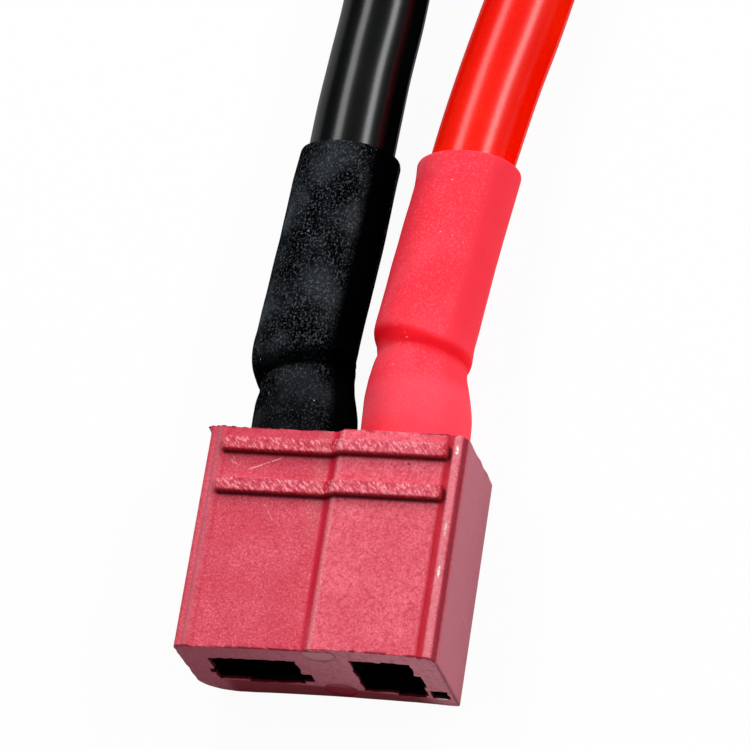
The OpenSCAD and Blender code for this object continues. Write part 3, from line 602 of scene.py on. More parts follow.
def halve(piece):
    """Cuts a piece's faces into triangles, so that each one is flat."""
    shell = bmesh.new()
    shell.from_mesh(piece.data)
    bmesh.ops.triangulate(shell, faces=shell.faces)
    shell.to_mesh(piece.data)
    shell.free()


def block(rings):
    """Points and faces of a closed body through rings [(y, outline)]."""
    verts = [(x, y, z) for y, outline in rings for x, z in outline]
    return verts, ring_faces(len(rings), len(rings[0][1]))


def carve(piece, bodies):
    """Cuts closed bodies out of a piece."""
    for verts, faces in bodies:
        cutter = make_piece("cutter", verts, faces, smooth=False)
        cut = piece.modifiers.new("cut", "BOOLEAN")
        cut.operation, cut.solver, cut.object = "DIFFERENCE", "EXACT", cutter
        settle(piece)
        bpy.data.objects.remove(cutter)


def settle(piece):
    """Applies a piece's modifiers to its mesh."""
    shown = piece.evaluated_get(bpy.context.evaluated_depsgraph_get())
    mesh = bpy.data.meshes.new_from_object(shown)
    piece.modifiers.clear()
    piece.data = mesh


SHARP_FROM = math.radians(35)


def sharpen(piece):
    """Smooth shading that keeps flat faces flat, and edges that turn by more than SHARP_FROM."""
    piece.data.polygons.foreach_set("use_smooth", [True] * len(piece.data.polygons))
    piece.data.set_sharp_from_angle(angle=SHARP_FROM)
    weigh = piece.modifiers.new("weigh", "WEIGHTED_NORMAL")
    weigh.keep_sharp = True
    settle(piece)


def box_outline(x0, x1, z0, z1):
    """Outline of an upright rectangle."""
    return [(x0, z0), (x1, z0), (x1, z1), (x0, z1)]


# Contacts: the flat one is centred on FLAT_X, the upright one on UPRIGHT_Z
FLAT_X, UPRIGHT_Z = -3.7, 3.9
FLAT_STRIP_Z, UPRIGHT_STRIP_X = 2.3, 2.6
STRIP_T, TAB_W, PASS = 0.7, 4, 0.02
BLADE_W, BLADE_T, BLADE_Z, BLADE_X = 4.6, 1.4, 3.05, 3.35
# Openings of the female plug's mating face
FLAT_SLOT = [(-6.4, 2.3), (-4.5, 2.3), (-4.5, 1.95), (-1.1, 1.95), (-1.1, 2.3), (-0.44, 2.3),
             (-0.44, 3.5), (-1, 3.5), (-1, 5.6), (-6.4, 5.6), (-6.4, 3.8), (-6.75, 3.8),
             (-6.75, 3.3), (-6.4, 3.3)]
UPRIGHT_SLOT = [(2.6, 1.45), (4.7, 1.45), (4.7, 1.1), (6.4, 1.1), (6.4, 1.45), (6.58, 1.45),
                (6.58, 2.85), (6.75, 2.85), (6.75, 4.65), (6.4, 4.65), (6.4, 6.5), (4.7, 6.5),
                (4.7, 6.35), (2.6, 6.35)]
SLOT_END_Y = 3.1
POCKET, POCKET_DEPTH = box_outline(6.9, 7.9, 1.2, 2.3), 3
DISCS, DISC_R, DISC_DEPTH = ((0.8, 6.9), (1, 1.2)), 1.08, 0.08
# How far a cutter stands over the face that it cuts, and by how much it runs past its end
OVER, PAST = 0.5, 0.5
LIP, DISC_LIP, HOLE_CORNER = 0.06, 0.05, 0.05


def contact_holes(width, thick, flat_z, upright_x, under=0.0):
    """Outlines of the holes around the flat and the upright contact of a plug."""
    reach, over = width / 2 + PASS, thick + PASS
    return [box_outline(FLAT_X - reach, FLAT_X + reach, flat_z - under, flat_z + over),
            box_outline(upright_x - under, upright_x + over, UPRIGHT_Z - reach, UPRIGHT_Z + reach)]


def sunk(outline, y0, depth):
    """Body that cuts a torn hole with softened lips, from the face y0."""
    over_y, lip_y = y0 - math.copysign(OVER, depth), y0 + math.copysign(LIP, depth)
    wide, narrow = grown(torn(outline), LIP), torn(outline)
    return block([(over_y, wide), (y0, wide), (lip_y, narrow), (y0 + depth, narrow)])


def disc_mark(x, z, radius, y0, depth):
    """Body that cuts a shallow round mark."""
    angles = np.linspace(0, 2 * math.pi, 73)[:-1]
    wide, narrow = [[(x + r * math.cos(a), z + r * math.sin(a)) for a in angles]
                    for r in (radius + DISC_LIP, radius)]
    return block([(y0 - OVER, wide), (y0, wide), (y0 + DISC_LIP, narrow), (y0 + depth, narrow)])


# The female plug
FEMALE_TAPER, FEMALE_BOW, FEMALE_BURR = 0.09, 0.15, 0.3
female = plug_skin("female_housing_skin", FRONT_Y, BACK_Y, FEMALE_TAPER, FEMALE_BOW, FEMALE_BURR)
carve(female, [
    sunk(FLAT_SLOT, FRONT_Y, SLOT_END_Y - FRONT_Y),
    sunk(UPRIGHT_SLOT, FRONT_Y, SLOT_END_Y - FRONT_Y),
    sunk(POCKET, FRONT_Y, POCKET_DEPTH),
    *[disc_mark(x, z, DISC_R - 2 * DISC_LIP, FRONT_Y, DISC_DEPTH) for x, z in DISCS],
    *[sunk(hole, BACK_Y, SLOT_END_Y - PAST - BACK_Y)
      for hole in contact_holes(TAB_W, STRIP_T, FLAT_STRIP_Z, UPRIGHT_STRIP_X)],
])
sharpen(female)
mark_places(female, FRONT_Y, BACK_Y, FEMALE_TAPER, FEMALE_BOW)

# The male plugs: x of the middle, and y of the back face
PLUG_Y = BACK_Y + ROUTES["left_black"][-1][1] + BRANCH_BARE
PLUG_X = {"left": -9.5, "right": 10.5}
males = {}
for side, x in PLUG_X.items():
    male = plug_skin(side + "_male_housing_skin", -MALE_LEN, 0)
    holes = [grown(hole, 0, HOLE_CORNER)
             for hole in contact_holes(BLADE_W, BLADE_T, BLADE_Z, BLADE_X, under=PASS)]
    carve(male, [block([(-MALE_LEN - 2 * OVER, hole), (2 * OVER, hole)]) for hole in holes])
    mark_places(male, -MALE_LEN, 0)
    male.data.transform(Matrix.Translation((x * MM, PLUG_Y * MM, 0)) @ Matrix.Diagonal((1, -1, 1, 1)))
    male.data.flip_normals()
    sharpen(male)
    males[side] = male


# Shrunk sleeves
def ring_rows(points, radii):
    """Rows of a tube with round sections."""
    return [(*p, r, r) for p, r in zip(points, radii)]


def shrunk(seed, size):
    """Unevenness of a shrunk sleeve."""
    def relief(along, angle):
        spot = Vector((math.cos(angle), math.sin(angle), along * 0.22 + seed))
        fine = Vector((2.4 * math.cos(angle), 2.4 * math.sin(angle), along * 0.6 - seed))
        return size * (noise.noise(spot) + 0.4 * noise.noise(fine))
    return relief


def dented(base, angle0, along0, depth, length):
    """Unevenness with one more dent, at this angle and distance along the sleeve."""
    def relief(along, angle):
        facing = max(0, math.cos(angle - angle0)) ** 2
        return base(along, angle) - depth * facing * math.exp(-((along - along0) / length) ** 2)
    return relief


# Over the solder joints: [x, distance behind the female housing, z, radius]
TRUNK_BULGES = {
    "black": [(-3.3, 0.1, 3.8, 3.27), (-3.3, 1.6, 3.8, 3.3), (-3.35, 2.7, 3.8, 3.25),
              (-3.43, 3.6, 3.82, 3.1), (-3.55, 4.25, 3.84, 2.97), (-3.7, 4.8, 3.84, 3.0),
              (-3.88, 5.3, 3.83, 3.17)],
    "red": [(3.83, 0.1, 3.8, 3.37), (3.82, 1.6, 3.8, 3.42), (3.76, 3, 3.8, 3.4),
            (3.66, 4.2, 3.8, 3.26), (3.56, 5.2, 3.79, 3.08), (3.46, 6, 3.78, 2.94),
            (3.43, 6.5, 3.77, 2.98), (3.4, 7, 3.77, 3.14)],
}
TRUNK_SLEEVE_ROWS, FIRST_SWELL = 6, 0.04


def trunk_sleeve(colour, wall, relief, skew, rim):
    """Sleeve over a heavy lead's start and the bulge of its solder joint."""
    lead = lead_points(colour + "_trunk")[:TRUNK_SLEEVE_ROWS]
    bulge = TRUNK_BULGES[colour]
    lead_part_r = TRUNK_R + SLEEVE_FIT + wall
    points = [(x, BACK_Y + y, z) for x, y, z, _ in bulge] + lead
    radii = [row[3] for row in bulge] + [lead_part_r + FIRST_SWELL] + [lead_part_r] * (len(lead) - 1)
    return tube(colour + "_trunk_sleeve_skin", ring_rows(points, radii), wall,
                sides=96, step=0.15, relief=relief, skew=skew, rim=rim)


def black_rim(angle):
    """Shift along and outward of the black sleeve's upper rim."""
    right = math.cos(angle)
    return 0.05 + 0.13 * right + 0.2 * right ** 2, -0.1 * max(0, -right)


def red_rim(angle):
    """Shift along and outward of the red sleeve's upper rim."""
    right = math.cos(angle)
    return 0.45 * right - 0.05, 0.18 * max(0, -right)


sleeves = {
    "black_trunk_sleeve": trunk_sleeve(
        "black", SLEEVE_WALL, dented(shrunk(1.3, 0.05), math.pi, 5.3, 0.14, 0.9),
        lambda a: 0.25 + 0.25 * math.cos(a), black_rim),
    "red_trunk_sleeve": trunk_sleeve(
        "red", RED_SLEEVE_WALL, dented(shrunk(7.9, 0.05), math.pi, 6.6, 0.22, 0.8),
        lambda a: 0.6 * math.cos(a), red_rim),
}

# Sleeves over the splices: round on the heavy lead, flat and wide on the light ones
BARREL_LEN, BARREL_GAP, BARREL_WALL, BARREL_BORE, BARREL_PITCH = 12, 1.5, 0.5, 5.3, 1.4
BRANCH_SPLIT, BARREL_ROOM = 2.3, 0.1
for i, colour in enumerate(("black", "red")):
    path = lead_points(colour + "_trunk")
    end = np.array(path[-1])
    over = SLEEVE_ROOM + BARREL_ROOM + BARREL_WALL
    round_size = np.array((TRUNK_SLEEVE_R, TRUNK_SLEEVE_R))
    narrow = np.array((BARREL_PITCH + BRANCH_CORE_R + over, TRUNK_CORE_R + over))
    wide = np.array((BRANCH_SPLIT + BRANCH_R + SLEEVE_ROOM, BRANCH_R + SLEEVE_ROOM))
    barrel_y = BARREL_GAP + BARREL_LEN
    rows = [(*p, *round_size) for p in path[-3:]]
    rows += [(*(end + (0, y, drop)), *size) for y, drop, size in (
        (BARREL_GAP, 0, narrow), (BARREL_GAP + 0.6 * BARREL_LEN, 0, narrow),
        (barrel_y, 0, (narrow + wide) / 2), (barrel_y + 1.2, -0.02, wide),
        (barrel_y + 5.5, -0.25, wide), (barrel_y + 8, -0.42, wide))]
    sleeves[colour + "_splice_sleeve"] = tube(
        colour + "_splice_sleeve_skin", rows, SLEEVE_WALL, sides=96, step=0.3,
        relief=shrunk(21 + 5 * i, 0.04))

# Sleeves at the male plugs: [x, z] of each solder joint's bulge and of its strands
JOINTS = {"black": ((-3.7, 3.1), (-3.7, 1.75)), "red": ((4.75, 3.85), (6.05, 3.9))}
NECK_LEN, NECK_LEAN, MALE_BULGE_RADII = 1.1, 0.25, [2.65, 3.03, 3.05, 3.05]
for i, side in enumerate(PLUG_X):
    for colour, (bulge, strands) in JOINTS.items():
        tail = lead_points(side + "_" + colour)[-3:]
        end = tail[-1]
        neck = (end[0] + NECK_LEAN * (PLUG_X[side] + strands[0] - end[0]), end[1] + NECK_LEN,
                end[2] + NECK_LEAN * (strands[1] - end[2]))
        joint = [(PLUG_X[side] + bulge[0], PLUG_Y - y, bulge[1])
                 for y in (TAB_LEN - 0.3, TAB_LEN / 2, 0.1)]
        rows = ring_rows([*tail, neck, *joint], [BRANCH_SLEEVE_R] * len(tail) + MALE_BULGE_RADII)
        key = side + "_" + colour + "_sleeve"
        sleeves[key] = tube(key + "_skin", rows, SLEEVE_WALL, sides=72, step=0.25,
                            relief=shrunk(40 + 9 * i + len(colour), 0.04))


# Strand bundles: one strand in the middle, then rings of 6 and 12
STRANDS, STRAND_SIDES, LAY_PER_RADIUS = 19, 7, 14


def strand_group(finish):
    """Geometry nodes that lay strands side by side in rings around a curve, twisted."""
    group = bpy.data.node_groups.new("twisted_strands", "GeometryNodeTree")
    face = group.interface
    for label, kind in (("Geometry", "Geometry"), ("Strands", "Int"), ("Strand radius", "Float"),
                        ("Spacing", "Float"), ("Lay length", "Float")):
        face.new_socket(label, in_out="INPUT", socket_type="NodeSocket" + kind)
    face.new_socket("Geometry", in_out="OUTPUT", socket_type="NodeSocketGeometry")
    m = Maker(group)
    entry = group.nodes.new("NodeGroupInput")
    curve, strands, radius, spacing, lay = [Socket(m, s) for s in entry.outputs[:5]]
    copies = m.node("GeometryNodeDuplicateElements", {"domain": "SPLINE"},
                    {"Geometry": curve, "Amount": strands}, out="Geometry")
    index = Socket(m, copies.socket.node.outputs["Duplicate Index"])
    ring = (index > 0.5) + (index > 6.5)
    first = (index > 0.5) * 1 + (index > 6.5) * 6
    turn = (index - first) / (ring * 6 + (ring < 0.5)) * math.tau
    reached = m.node("GeometryNodeSplineParameter", out="Length")
    turn = turn + reached / lay * math.tau
    normal, tangent = m.node("GeometryNodeInputNormal"), m.node("GeometryNodeInputTangent")
    third = m.node("ShaderNodeVectorMath", {"operation": "CROSS_PRODUCT"}, {0: tangent, 1: normal})
    reach = ring * spacing
    parts = [m.node("ShaderNodeVectorMath", {"operation": "SCALE"}, {0: axis, "Scale": reach * wave})
             for axis, wave in ((normal, turn.cosine()), (third, turn.sine()))]
    offset = m.node("ShaderNodeVectorMath", {"operation": "ADD"}, {0: parts[0], 1: parts[1]})
    laid = m.node("GeometryNodeSetPosition", values={"Geometry": copies, "Offset": offset})
    profile = m.node("GeometryNodeCurvePrimitiveCircle", values={
        "Resolution": STRAND_SIDES, "Radius": radius})
    rods = m.node("GeometryNodeCurveToMesh", values={
        "Curve": laid, "Profile Curve": profile, "Fill Caps": True})
    dressed = m.node("GeometryNodeSetMaterial", values={
        "Geometry": m.node("GeometryNodeRealizeInstances", values={"Geometry": rods}),
        "Material": finish})
    leave = group.nodes.new("NodeGroupOutput")
    m.link(dressed, leave.inputs[0])
    return group


def strand_bundle(name, points, bundle_r, group):
    """A bundle of twisted strands along points, baked to a mesh."""
    strand_r = bundle_r / 5
    path = eased(points, 1.0)
    data = bpy.data.curves.new(name, "CURVE")
    data.dimensions, data.twist_mode = "3D", "Z_UP"
    spline = data.splines.new("POLY")
    spline.points.add(len(path) - 1)
    spline.points.foreach_set("co", np.hstack([path * MM, np.ones((len(path), 1))]).ravel())
    guide = bpy.data.objects.new(name + "_guide", data)
    bpy.context.scene.collection.objects.link(guide)
    nodes = guide.modifiers.new("strands", "NODES")
    nodes.node_group = group
    given = {"Strands": STRANDS, "Strand radius": strand_r * MM, "Spacing": 2 * strand_r * MM,
             "Lay length": LAY_PER_RADIUS * bundle_r * MM}
    for item in group.interface.items_tree:
        if item.in_out == "INPUT" and item.name in given:
            nodes[item.identifier] = given[item.name]
    bpy.context.view_layer.update()
    mesh = bpy.data.meshes.new_from_object(guide.evaluated_get(bpy.context.evaluated_depsgraph_get()))
    mesh.polygons.foreach_set("use_smooth", [True] * len(mesh.polygons))
    bpy.data.objects.remove(guide)
    mesh.name = name
    piece = bpy.data.objects.new(name, mesh)
    bpy.context.scene.collection.objects.link(piece)
    return piece


def straight_on(points, at_start):
    """A point just past one end of a lead, in line with it."""
    end, before = (points[0], points[1]) if at_start else (points[-1], points[-2])
    way = np.subtract(end, before)
    return tuple(np.add(end, 0.4 * way / np.linalg.norm(way)))


# Finishes
def silicone(name, deep, pale, gloss):
    """Smooth silicone: slight clouding, fine dust and a soft gloss away from its right side."""
    m = Finish(name)
    place = m.place()
    cloud = m.noise(place, 180, 3).between(0.35, 0.75)
    dust = m.noise(place, 6000, 2, 0.6).between(0.5, 0.75)
    colour = m.blend(cloud * 0.3 + dust * 0.5, deep, pale)
    around = m.axes(m.place(uv=True))[0]
    glossy = around.between(0.07, 0.13) * (0.95 - around.between(0.26, 0.33) * 0.55)
    return m.finish(Base_Color=colour, Roughness=0.5, Specular_IOR_Level=0.0,
                    Coat_Weight=glossy * (dust * -0.2 + 1), Coat_Roughness=gloss, Coat_IOR=1.5,
                    Normal=m.bump(m.noise(place, 5000, 3), 0.00004, 0.35))


def sleeving(name, deep, pale, crease_shade, lint, foot, speck, level):
    """Shrunk tubing: matte, with dust, clouding and bits of lint painted only where the light
    falls, away from its right side, patches of painted sheen, painted shade on ledges and
    at the foot, and another tone on the swelling at its start."""
    m = Finish(name)
    place = m.place()
    patch = m.noise(place, 320, 4).between(0.4, 0.72)
    grain = m.noise(place, 6500, 3, 0.7)
    dots = m.noise(m.place(scale=(1, 0.8, 1.1)), 7500, 3, 0.7).between(0.5, 0.68)
    around, along = m.axes(m.place(uv=True))[:2]
    # Painted light: dust, clouding and lint show only on the lit side, away from the right
    lit_side = around.between(0.11, 0.16)
    # Painted sheen: pale patches towards the left side
    painted_sheen = inside(around, 0.37, 0.46, 0.04) * m.noise(place, 170, 2).between(0.5, 0.62)
    colour = m.blend((patch * 0.2 + dots * speck) * lit_side + painted_sheen * 0.35, deep, pale)
    colour = m.blend(along.between(4.6, 3.4) * 0.5, colour, foot)
    # Painted shade on ledges where the tube widens, and at its foot
    colour = m.blend(m.attribute("ledge_shade") * 0.9, colour, crease_shade)
    colour = m.blend(m.noise(place, 3000, 2).between(0.74, 0.78) * lit_side * 0.5, colour, lint)
    height = grain * 0.5 + m.noise(place, 1500, 3) * 0.5
    return m.finish(Base_Color=colour, Roughness=patch * 0.08 + 0.65,
                    Normal=m.bump(height, 0.00005, 0.5), IOR=1.45, Specular_IOR_Level=level)


def inside(value, low, high, soft):
    """1 between two numbers, 0 beyond them."""
    return value.between(low - soft, low + soft) * value.between(high + soft, high - soft)


def scratch(x, y, start, end, width):
    """1 along a straight scratch between two points of the upper face."""
    way = np.subtract(end, start)
    length = float(np.linalg.norm(way))
    along_x, along_y = (way / length).tolist()
    shift_x, shift_y = x - start[0], y - start[1]
    run = shift_x * along_x + shift_y * along_y
    off = shift_y * along_x - shift_x * along_y
    return inside(run, 0, length, 0.1) * inside(off, -width, width, width * 0.8)


def spot(x, y, middle, reach):
    """1 in the middle of an oval, fading to 0 at its edge."""
    off_x, off_y = (x - middle[0]) / reach[0], (y - middle[1]) / reach[1]
    return (off_x * off_x + off_y * off_y).between(1, 0.1)


# Where the paint of the plug's parts begins: places on a straight plug, in millimetres
RIGHT_SIDE_X, UPPER_FACE_Z, PAINT_FRONT_Y = 8.2, 6.7, -7.15
SCUFF_TURN = math.radians(48)


def plug_marks(m):
    """Places, masks and grain that the parts of the plug's paint share."""
    place = m.place()
    x, y, z = m.axes(m.attribute("place", "Vector"))
    speck = m.noise(place, 6500, 4, 0.8)
    slanted = m.node("ShaderNodeMapping", values={
        "Vector": m.place(turn=(0, 0, SCUFF_TURN)), "Scale": (0.45, 1.2, 1)})
    return SimpleNamespace(
        place=place, x=x, y=y, z=z, speck=speck,
        rib=m.attribute("rib"), flank=m.attribute("flank"), rear=m.attribute("rear"),
        on_top=z.between(UPPER_FACE_Z - 0.1, UPPER_FACE_Z + 0.05),
        front=y.between(PAINT_FRONT_Y + 0.01, PAINT_FRONT_Y - 0.02),
        pale_speck=speck.between(0.5, 0.68), dark_speck=speck.between(0.5, 0.32),
        mottle=m.noise(place, 2300, 3, 0.6).between(0.52, 0.36),
        patch=m.noise(place, 420, 4, 0.6).between(0.35, 0.7),
        broken=m.noise(place, 5200, 2).between(0.38, 0.58),
        scuff=m.noise(slanted, 6000, 3, 0.65),
        high_half=x.between(-0.2, 0.6))


def speckled_red(m, on):
    """The plastic itself: paler on the high half, mottled, deeper red around the ribs."""
    colour = m.blend(on.high_half * 0.5 + on.patch * 0.4, linear(213, 68, 88), linear(238, 102, 120))
    colour = m.blend(on.mottle * 0.4, colour, linear(198, 44, 68))
    colour = m.blend(on.pale_speck * (on.patch * 0.2 + 0.3), colour, linear(255, 164, 172))
    colour = m.blend(on.dark_speck * 0.6, colour, linear(164, 38, 60))
    behind, amid = on.y.between(6.3, 6.6), inside(on.y, 3.9, 5.5, 0.2)
    return m.blend((behind * 0.4 + amid * 0.2) * (1 - on.high_half), colour, linear(184, 44, 72))


def strip_and_beads(m, on, colour):
    """The slanted strip, groove and beads of the upper face, with their worn edges: painted
    shade on the strip, in the groove and beside the beads, and painted highlights on the
    beads' crests and the strip's right edge.
    """
    x, worn = on.x, on.pale_speck * 0.4
    beside = inside(x, -1.2, -0.35, 0.35) * on.y.between(-1, 2)
    # Painted shade: the slanted strip and the groove face away from the light
    strip = inside(x, -0.3, 0.2, 0.08) * (on.y.between(-3, -7) * -0.4 + 0.85)
    groove = inside(x, GROOVE_X - 0.3, GROOVE_X + 0.14, 0.16) + inside(x, -7.2, -7.0, 0.1) * 0.3
    # Painted highlights along the beads' crests, mixed with worn specks
    right_bead = inside(x, RIGHT_BEAD_X - 0.2, RIGHT_BEAD_X + 0.18, 0.12)
    left_bead = inside(x, LEFT_BEAD_X - 0.35, LEFT_BEAD_X + 0.15, 0.25)
    # Painted shade on the strip, in the groove and right of the right bead; painted highlights, with worn
    # specks, on the strip's right edge and the beads
    for share, tone in (
            (beside * (on.pale_speck * 0.3 + 0.12), linear(222, 154, 144)),
            (strip, linear(204, 24, 56)),
            (groove * 0.9, linear(184, 4, 34)),
            (inside(x, 0.3, 0.55, 0.12) * (worn + 0.3), linear(255, 172, 178)),
            (right_bead * (worn + 0.35), linear(224, 156, 164)),
            (left_bead * (worn + 0.4), linear(188, 104, 116)),
            (inside(x, 7.95, 8.19, 0.07) * 0.9, linear(132, 4, 34))):
        colour = m.blend(share * on.on_top, colour, tone)
    return colour


def scuffed_ribs(m, on, colour):
    """Slanted scuffs on the ribs, and the red line at their rear."""
    colour = m.blend(on.scuff.between(0.5, 0.64) * on.rib * 0.65, colour, linear(255, 176, 186))
    colour = m.blend(on.scuff.between(0.5, 0.36) * on.rib * 0.5, colour, linear(160, 24, 50))
    return m.blend(on.rear * 0.8, colour, linear(172, 10, 50))


# Single scratches of the upper face: [start, end, half width, strength]
SCRATCHES = [((-5.37, 4.46), (-3.4, 5.31), 0.03, 1.0), ((-4.06, 2.27), (-3.31, 1.18), 0.03, 0.6),
             ((-6.6, 5.0), (-6.2, 4.75), 0.05, 0.7), ((-6.5, 5.3), (-6.35, 4.9), 0.04, 0.6)]
DARK_FLECK = (4.78, 5.2), (4.94, 5.12), 0.06
# Painted highlights, as glints, on the right bead: [middle, reach, strength]
BEAD_GLINTS = [((7.7, 6.25), (0.13, 0.4), 1.0), ((7.71, 1.1), (0.1, 0.6), 0.6),
               ((7.69, -1.7), (0.11, 0.5), 0.9)]


def single_marks(m, on, colour):
    """Scratches and a dark fleck on the upper face, and painted highlights on the right bead."""
    x, y = on.x, on.y
    scratched = sum(scratch(x, y, start, end, width) * strength
                    for start, end, width, strength in SCRATCHES)
    glints = sum(spot(x, y, middle, reach) * strength for middle, reach, strength in BEAD_GLINTS)
    colour = m.blend(scratched * on.broken * on.on_top * 0.75, colour, linear(255, 196, 200))
    colour = m.blend(scratch(x, y, *DARK_FLECK) * on.on_top * 0.9, colour, linear(60, 4, 14))
    # Painted highlights: glints along the right bead
    return m.blend(glints * on.broken * on.on_top, colour, linear(255, 244, 232))


def flanks_and_edges(m, on, colour):
    """Painted shade on the ribs' flanks, dark torn edges, the painted mauve sheen of the
    right side, and the dark burr.
    """
    # Painted shade: the ribs' flanks that face the mating face or the right, darkest at the foot
    shade = m.blend(on.rib.between(0.2, 0.95), linear(50, 0, 4), linear(176, 0, 20))
    colour = m.blend(on.flank * 0.95, colour, shade)
    ends = on.y.between(-7.12, -7.2) + on.y.between(7.16, 7.22)
    torn_off = m.noise(on.place, 900, 3).between(0.48, 0.56)
    colour = m.blend(ends * on.on_top * torn_off * 0.8, colour, linear(140, 10, 38))
    # Painted sheen: the right side's paler mauve tone
    side = on.x.between(RIGHT_SIDE_X - 0.03, RIGHT_SIDE_X + 0.04)
    colour = m.blend(side * 0.8, colour, linear(164, 92, 108))
    return m.blend(on.x.between(-8.29, -8.36) * on.y.between(6.5, 6.8), colour, linear(104, 0, 20))


def mating_face(m, on):
    """The mating face: a painted mauve sheen, paler towards the right where more light falls,
    mottled, with painted shade low down and ejector marks whose rims hold painted shade.
    """
    x, z = on.x, on.z
    # Painted sheen: mauve, paler towards the right where more light falls
    face = m.blend(x.between(-8, 8), linear(164, 76, 94), linear(228, 140, 154))
    face = m.blend(on.mottle * 0.35, face, linear(168, 62, 84))
    face = m.blend(on.pale_speck * 0.25, face, linear(232, 178, 190))
    # Painted shade: a dark band low on the face, rising towards the left
    band = (z + x * 0.09).between(1.9, 1.4) * x.between(-6.5, -5.6) * x.between(7.4, 5.6)
    face = m.blend(band * 0.95, face, linear(128, 2, 28))
    for (disc_x, disc_z), tone in zip(DISCS, (linear(214, 150, 160), linear(170, 20, 54))):
        off_x, off_z = x - disc_x, z - disc_z
        far = off_x * off_x + off_z * off_z
        face = m.blend(far.between(DISC_R ** 2, 0.8 * DISC_R ** 2) * 0.6, face, tone)
        # Painted shade in each mark's rim, strongest at its top and right
        ring = inside(far, (DISC_R - 0.07) ** 2, (DISC_R + 0.02) ** 2, 0.07)
        lit = (off_z + off_x * 0.3).between(-0.3, 0.9) * 0.75 + 0.2
        face = m.blend(ring * lit, face, linear(120, 0, 26))
    # The rounded right edge of the face takes the side's painted mauve sheen
    return m.blend(x.between(8.05, 8.15) * 0.9, face, linear(160, 84, 100))


def openings(m, on, colour):
    """Holes: painted shade inside them, deep red at their lips and black further in."""
    columns = inside(on.x, -6.95, -0.32, 0.02) + inside(on.x, 2.38, 8.0, 0.02)
    hole = columns * inside(on.z, 0.98, 6.72, 0.02) * on.y.between(3.4, 3.3)
    # Painted shade: deep red just inside the holes, black deeper in
    colour = m.blend(hole * on.y.between(-7.29, -7.26), colour, linear(96, 0, 20))
    return m.blend(hole * on.y.between(-7.2, -7.1), colour, linear(3, 0, 1))


def moulded_plastic():
    """Deep red nylon: pale and dark specks, scuffed grip ribs, painted highlights, sheen and
    shade on its faces, and dark holes of painted shade.
    """
    m = Finish("housing_plastic")
    on = plug_marks(m)
    colour = speckled_red(m, on)
    for layer in (strip_and_beads, scuffed_ribs, single_marks, flanks_and_edges):
        colour = layer(m, on, colour)
    front_rim = on.y.between(-7.29, -7.26) * on.z.between(7.1, 7.3)
    colour = m.blend(on.front * 0.95 * (1 - front_rim), colour, mating_face(m, on))
    # Painted highlight: a white glint on the pocket's lower lip
    glint = spot(on.x, on.z, (7.35, 1.12), (0.42, 0.16))
    colour = m.blend(on.front * glint, colour, linear(255, 255, 255))
    colour = openings(m, on, colour)
    height = on.scuff * (on.rib * 0.7 + 0.3) + m.noise(on.place, 1400, 3) * 0.4 + on.speck * 0.4
    return m.finish(Base_Color=colour, Roughness=on.front * 0.2 + on.patch * 0.06 + 0.44,
                    Normal=m.bump(height, 0.00006, 0.5), IOR=1.45, Specular_IOR_Level=0.15)


def plated(name, colour, worn, rough):
    """Plated metal with fine drawing lines and a few dull spots."""
    m = Finish(name)
    spots = m.noise(m.place(), 900, 3).between(0.45, 0.75)
    lines = m.noise(m.place(scale=(1, 0.04, 1)), 5200, 2)
    return m.finish(Base_Color=m.blend(spots * 0.5, colour, worn), Metallic=1.0,
                    Roughness=spots * 0.12 + lines * 0.12 + rough,
                    Normal=m.bump(lines, 0.00002, 0.3))


finishes = {
    "housing_plastic": moulded_plastic(),
    "contact_gold": plated("contact_gold", linear(232, 198, 120), linear(176, 138, 78), 0.2),
    "spring_steel": plated("spring_steel", linear(196, 198, 202), linear(150, 152, 156), 0.22),
    "solder": plated("solder", linear(190, 192, 196), linear(140, 142, 146), 0.25),
    "tinned_barrel": plated("tinned_barrel", linear(204, 204, 206), linear(160, 158, 156), 0.28),
    "copper_strands": plated("copper_strands", linear(214, 140, 100), linear(160, 98, 70), 0.25),
    "black_silicone": silicone("black_silicone", linear(1, 2, 3), linear(12, 16, 18), 0.22),
    "red_silicone": silicone("red_silicone", linear(244, 14, 0), linear(250, 44, 12), 0.25),
    "black_sleeving": sleeving(
        "black_sleeving", deep=linear(1, 2, 3), pale=linear(92, 98, 104), crease_shade=linear(0, 0, 0),
        lint=linear(190, 194, 204), foot=linear(3, 4, 5), speck=0.62, level=0.0),
    "red_sleeving": sleeving(
        "red_sleeving", deep=linear(252, 52, 70), pale=linear(255, 106, 124),
        crease_shade=linear(255, 4, 28), lint=linear(255, 200, 200), foot=linear(255, 84, 102),
        speck=0.5, level=0.12),
}


def dress(piece, slot):
    """Gives a piece its only finish."""
    piece.data.materials.clear()
    piece.data.materials.append(finishes[slot])


for subpart in frame["record"]["subparts"]:
    dress(frame["nodes"][subpart["node"]], subpart["material_slot"])


def take_over(piece, node, slot):
    """A detailed piece stands for its node and wears its finish."""
    dress(piece, slot)
    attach(piece, "root")
    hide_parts(node)


take_over(female, "female_housing", "housing_plastic")
for side, male in males.items():
    take_over(male, side + "_male_housing", "housing_plastic")
for node, sleeve in sleeves.items():
    take_over(sleeve, node, ("black" if "black" in node else "red") + "_sleeving")
for name, lead in leads.items():
    take_over(lead, name + "_lead", ("black" if "black" in name else "red") + "_silicone")

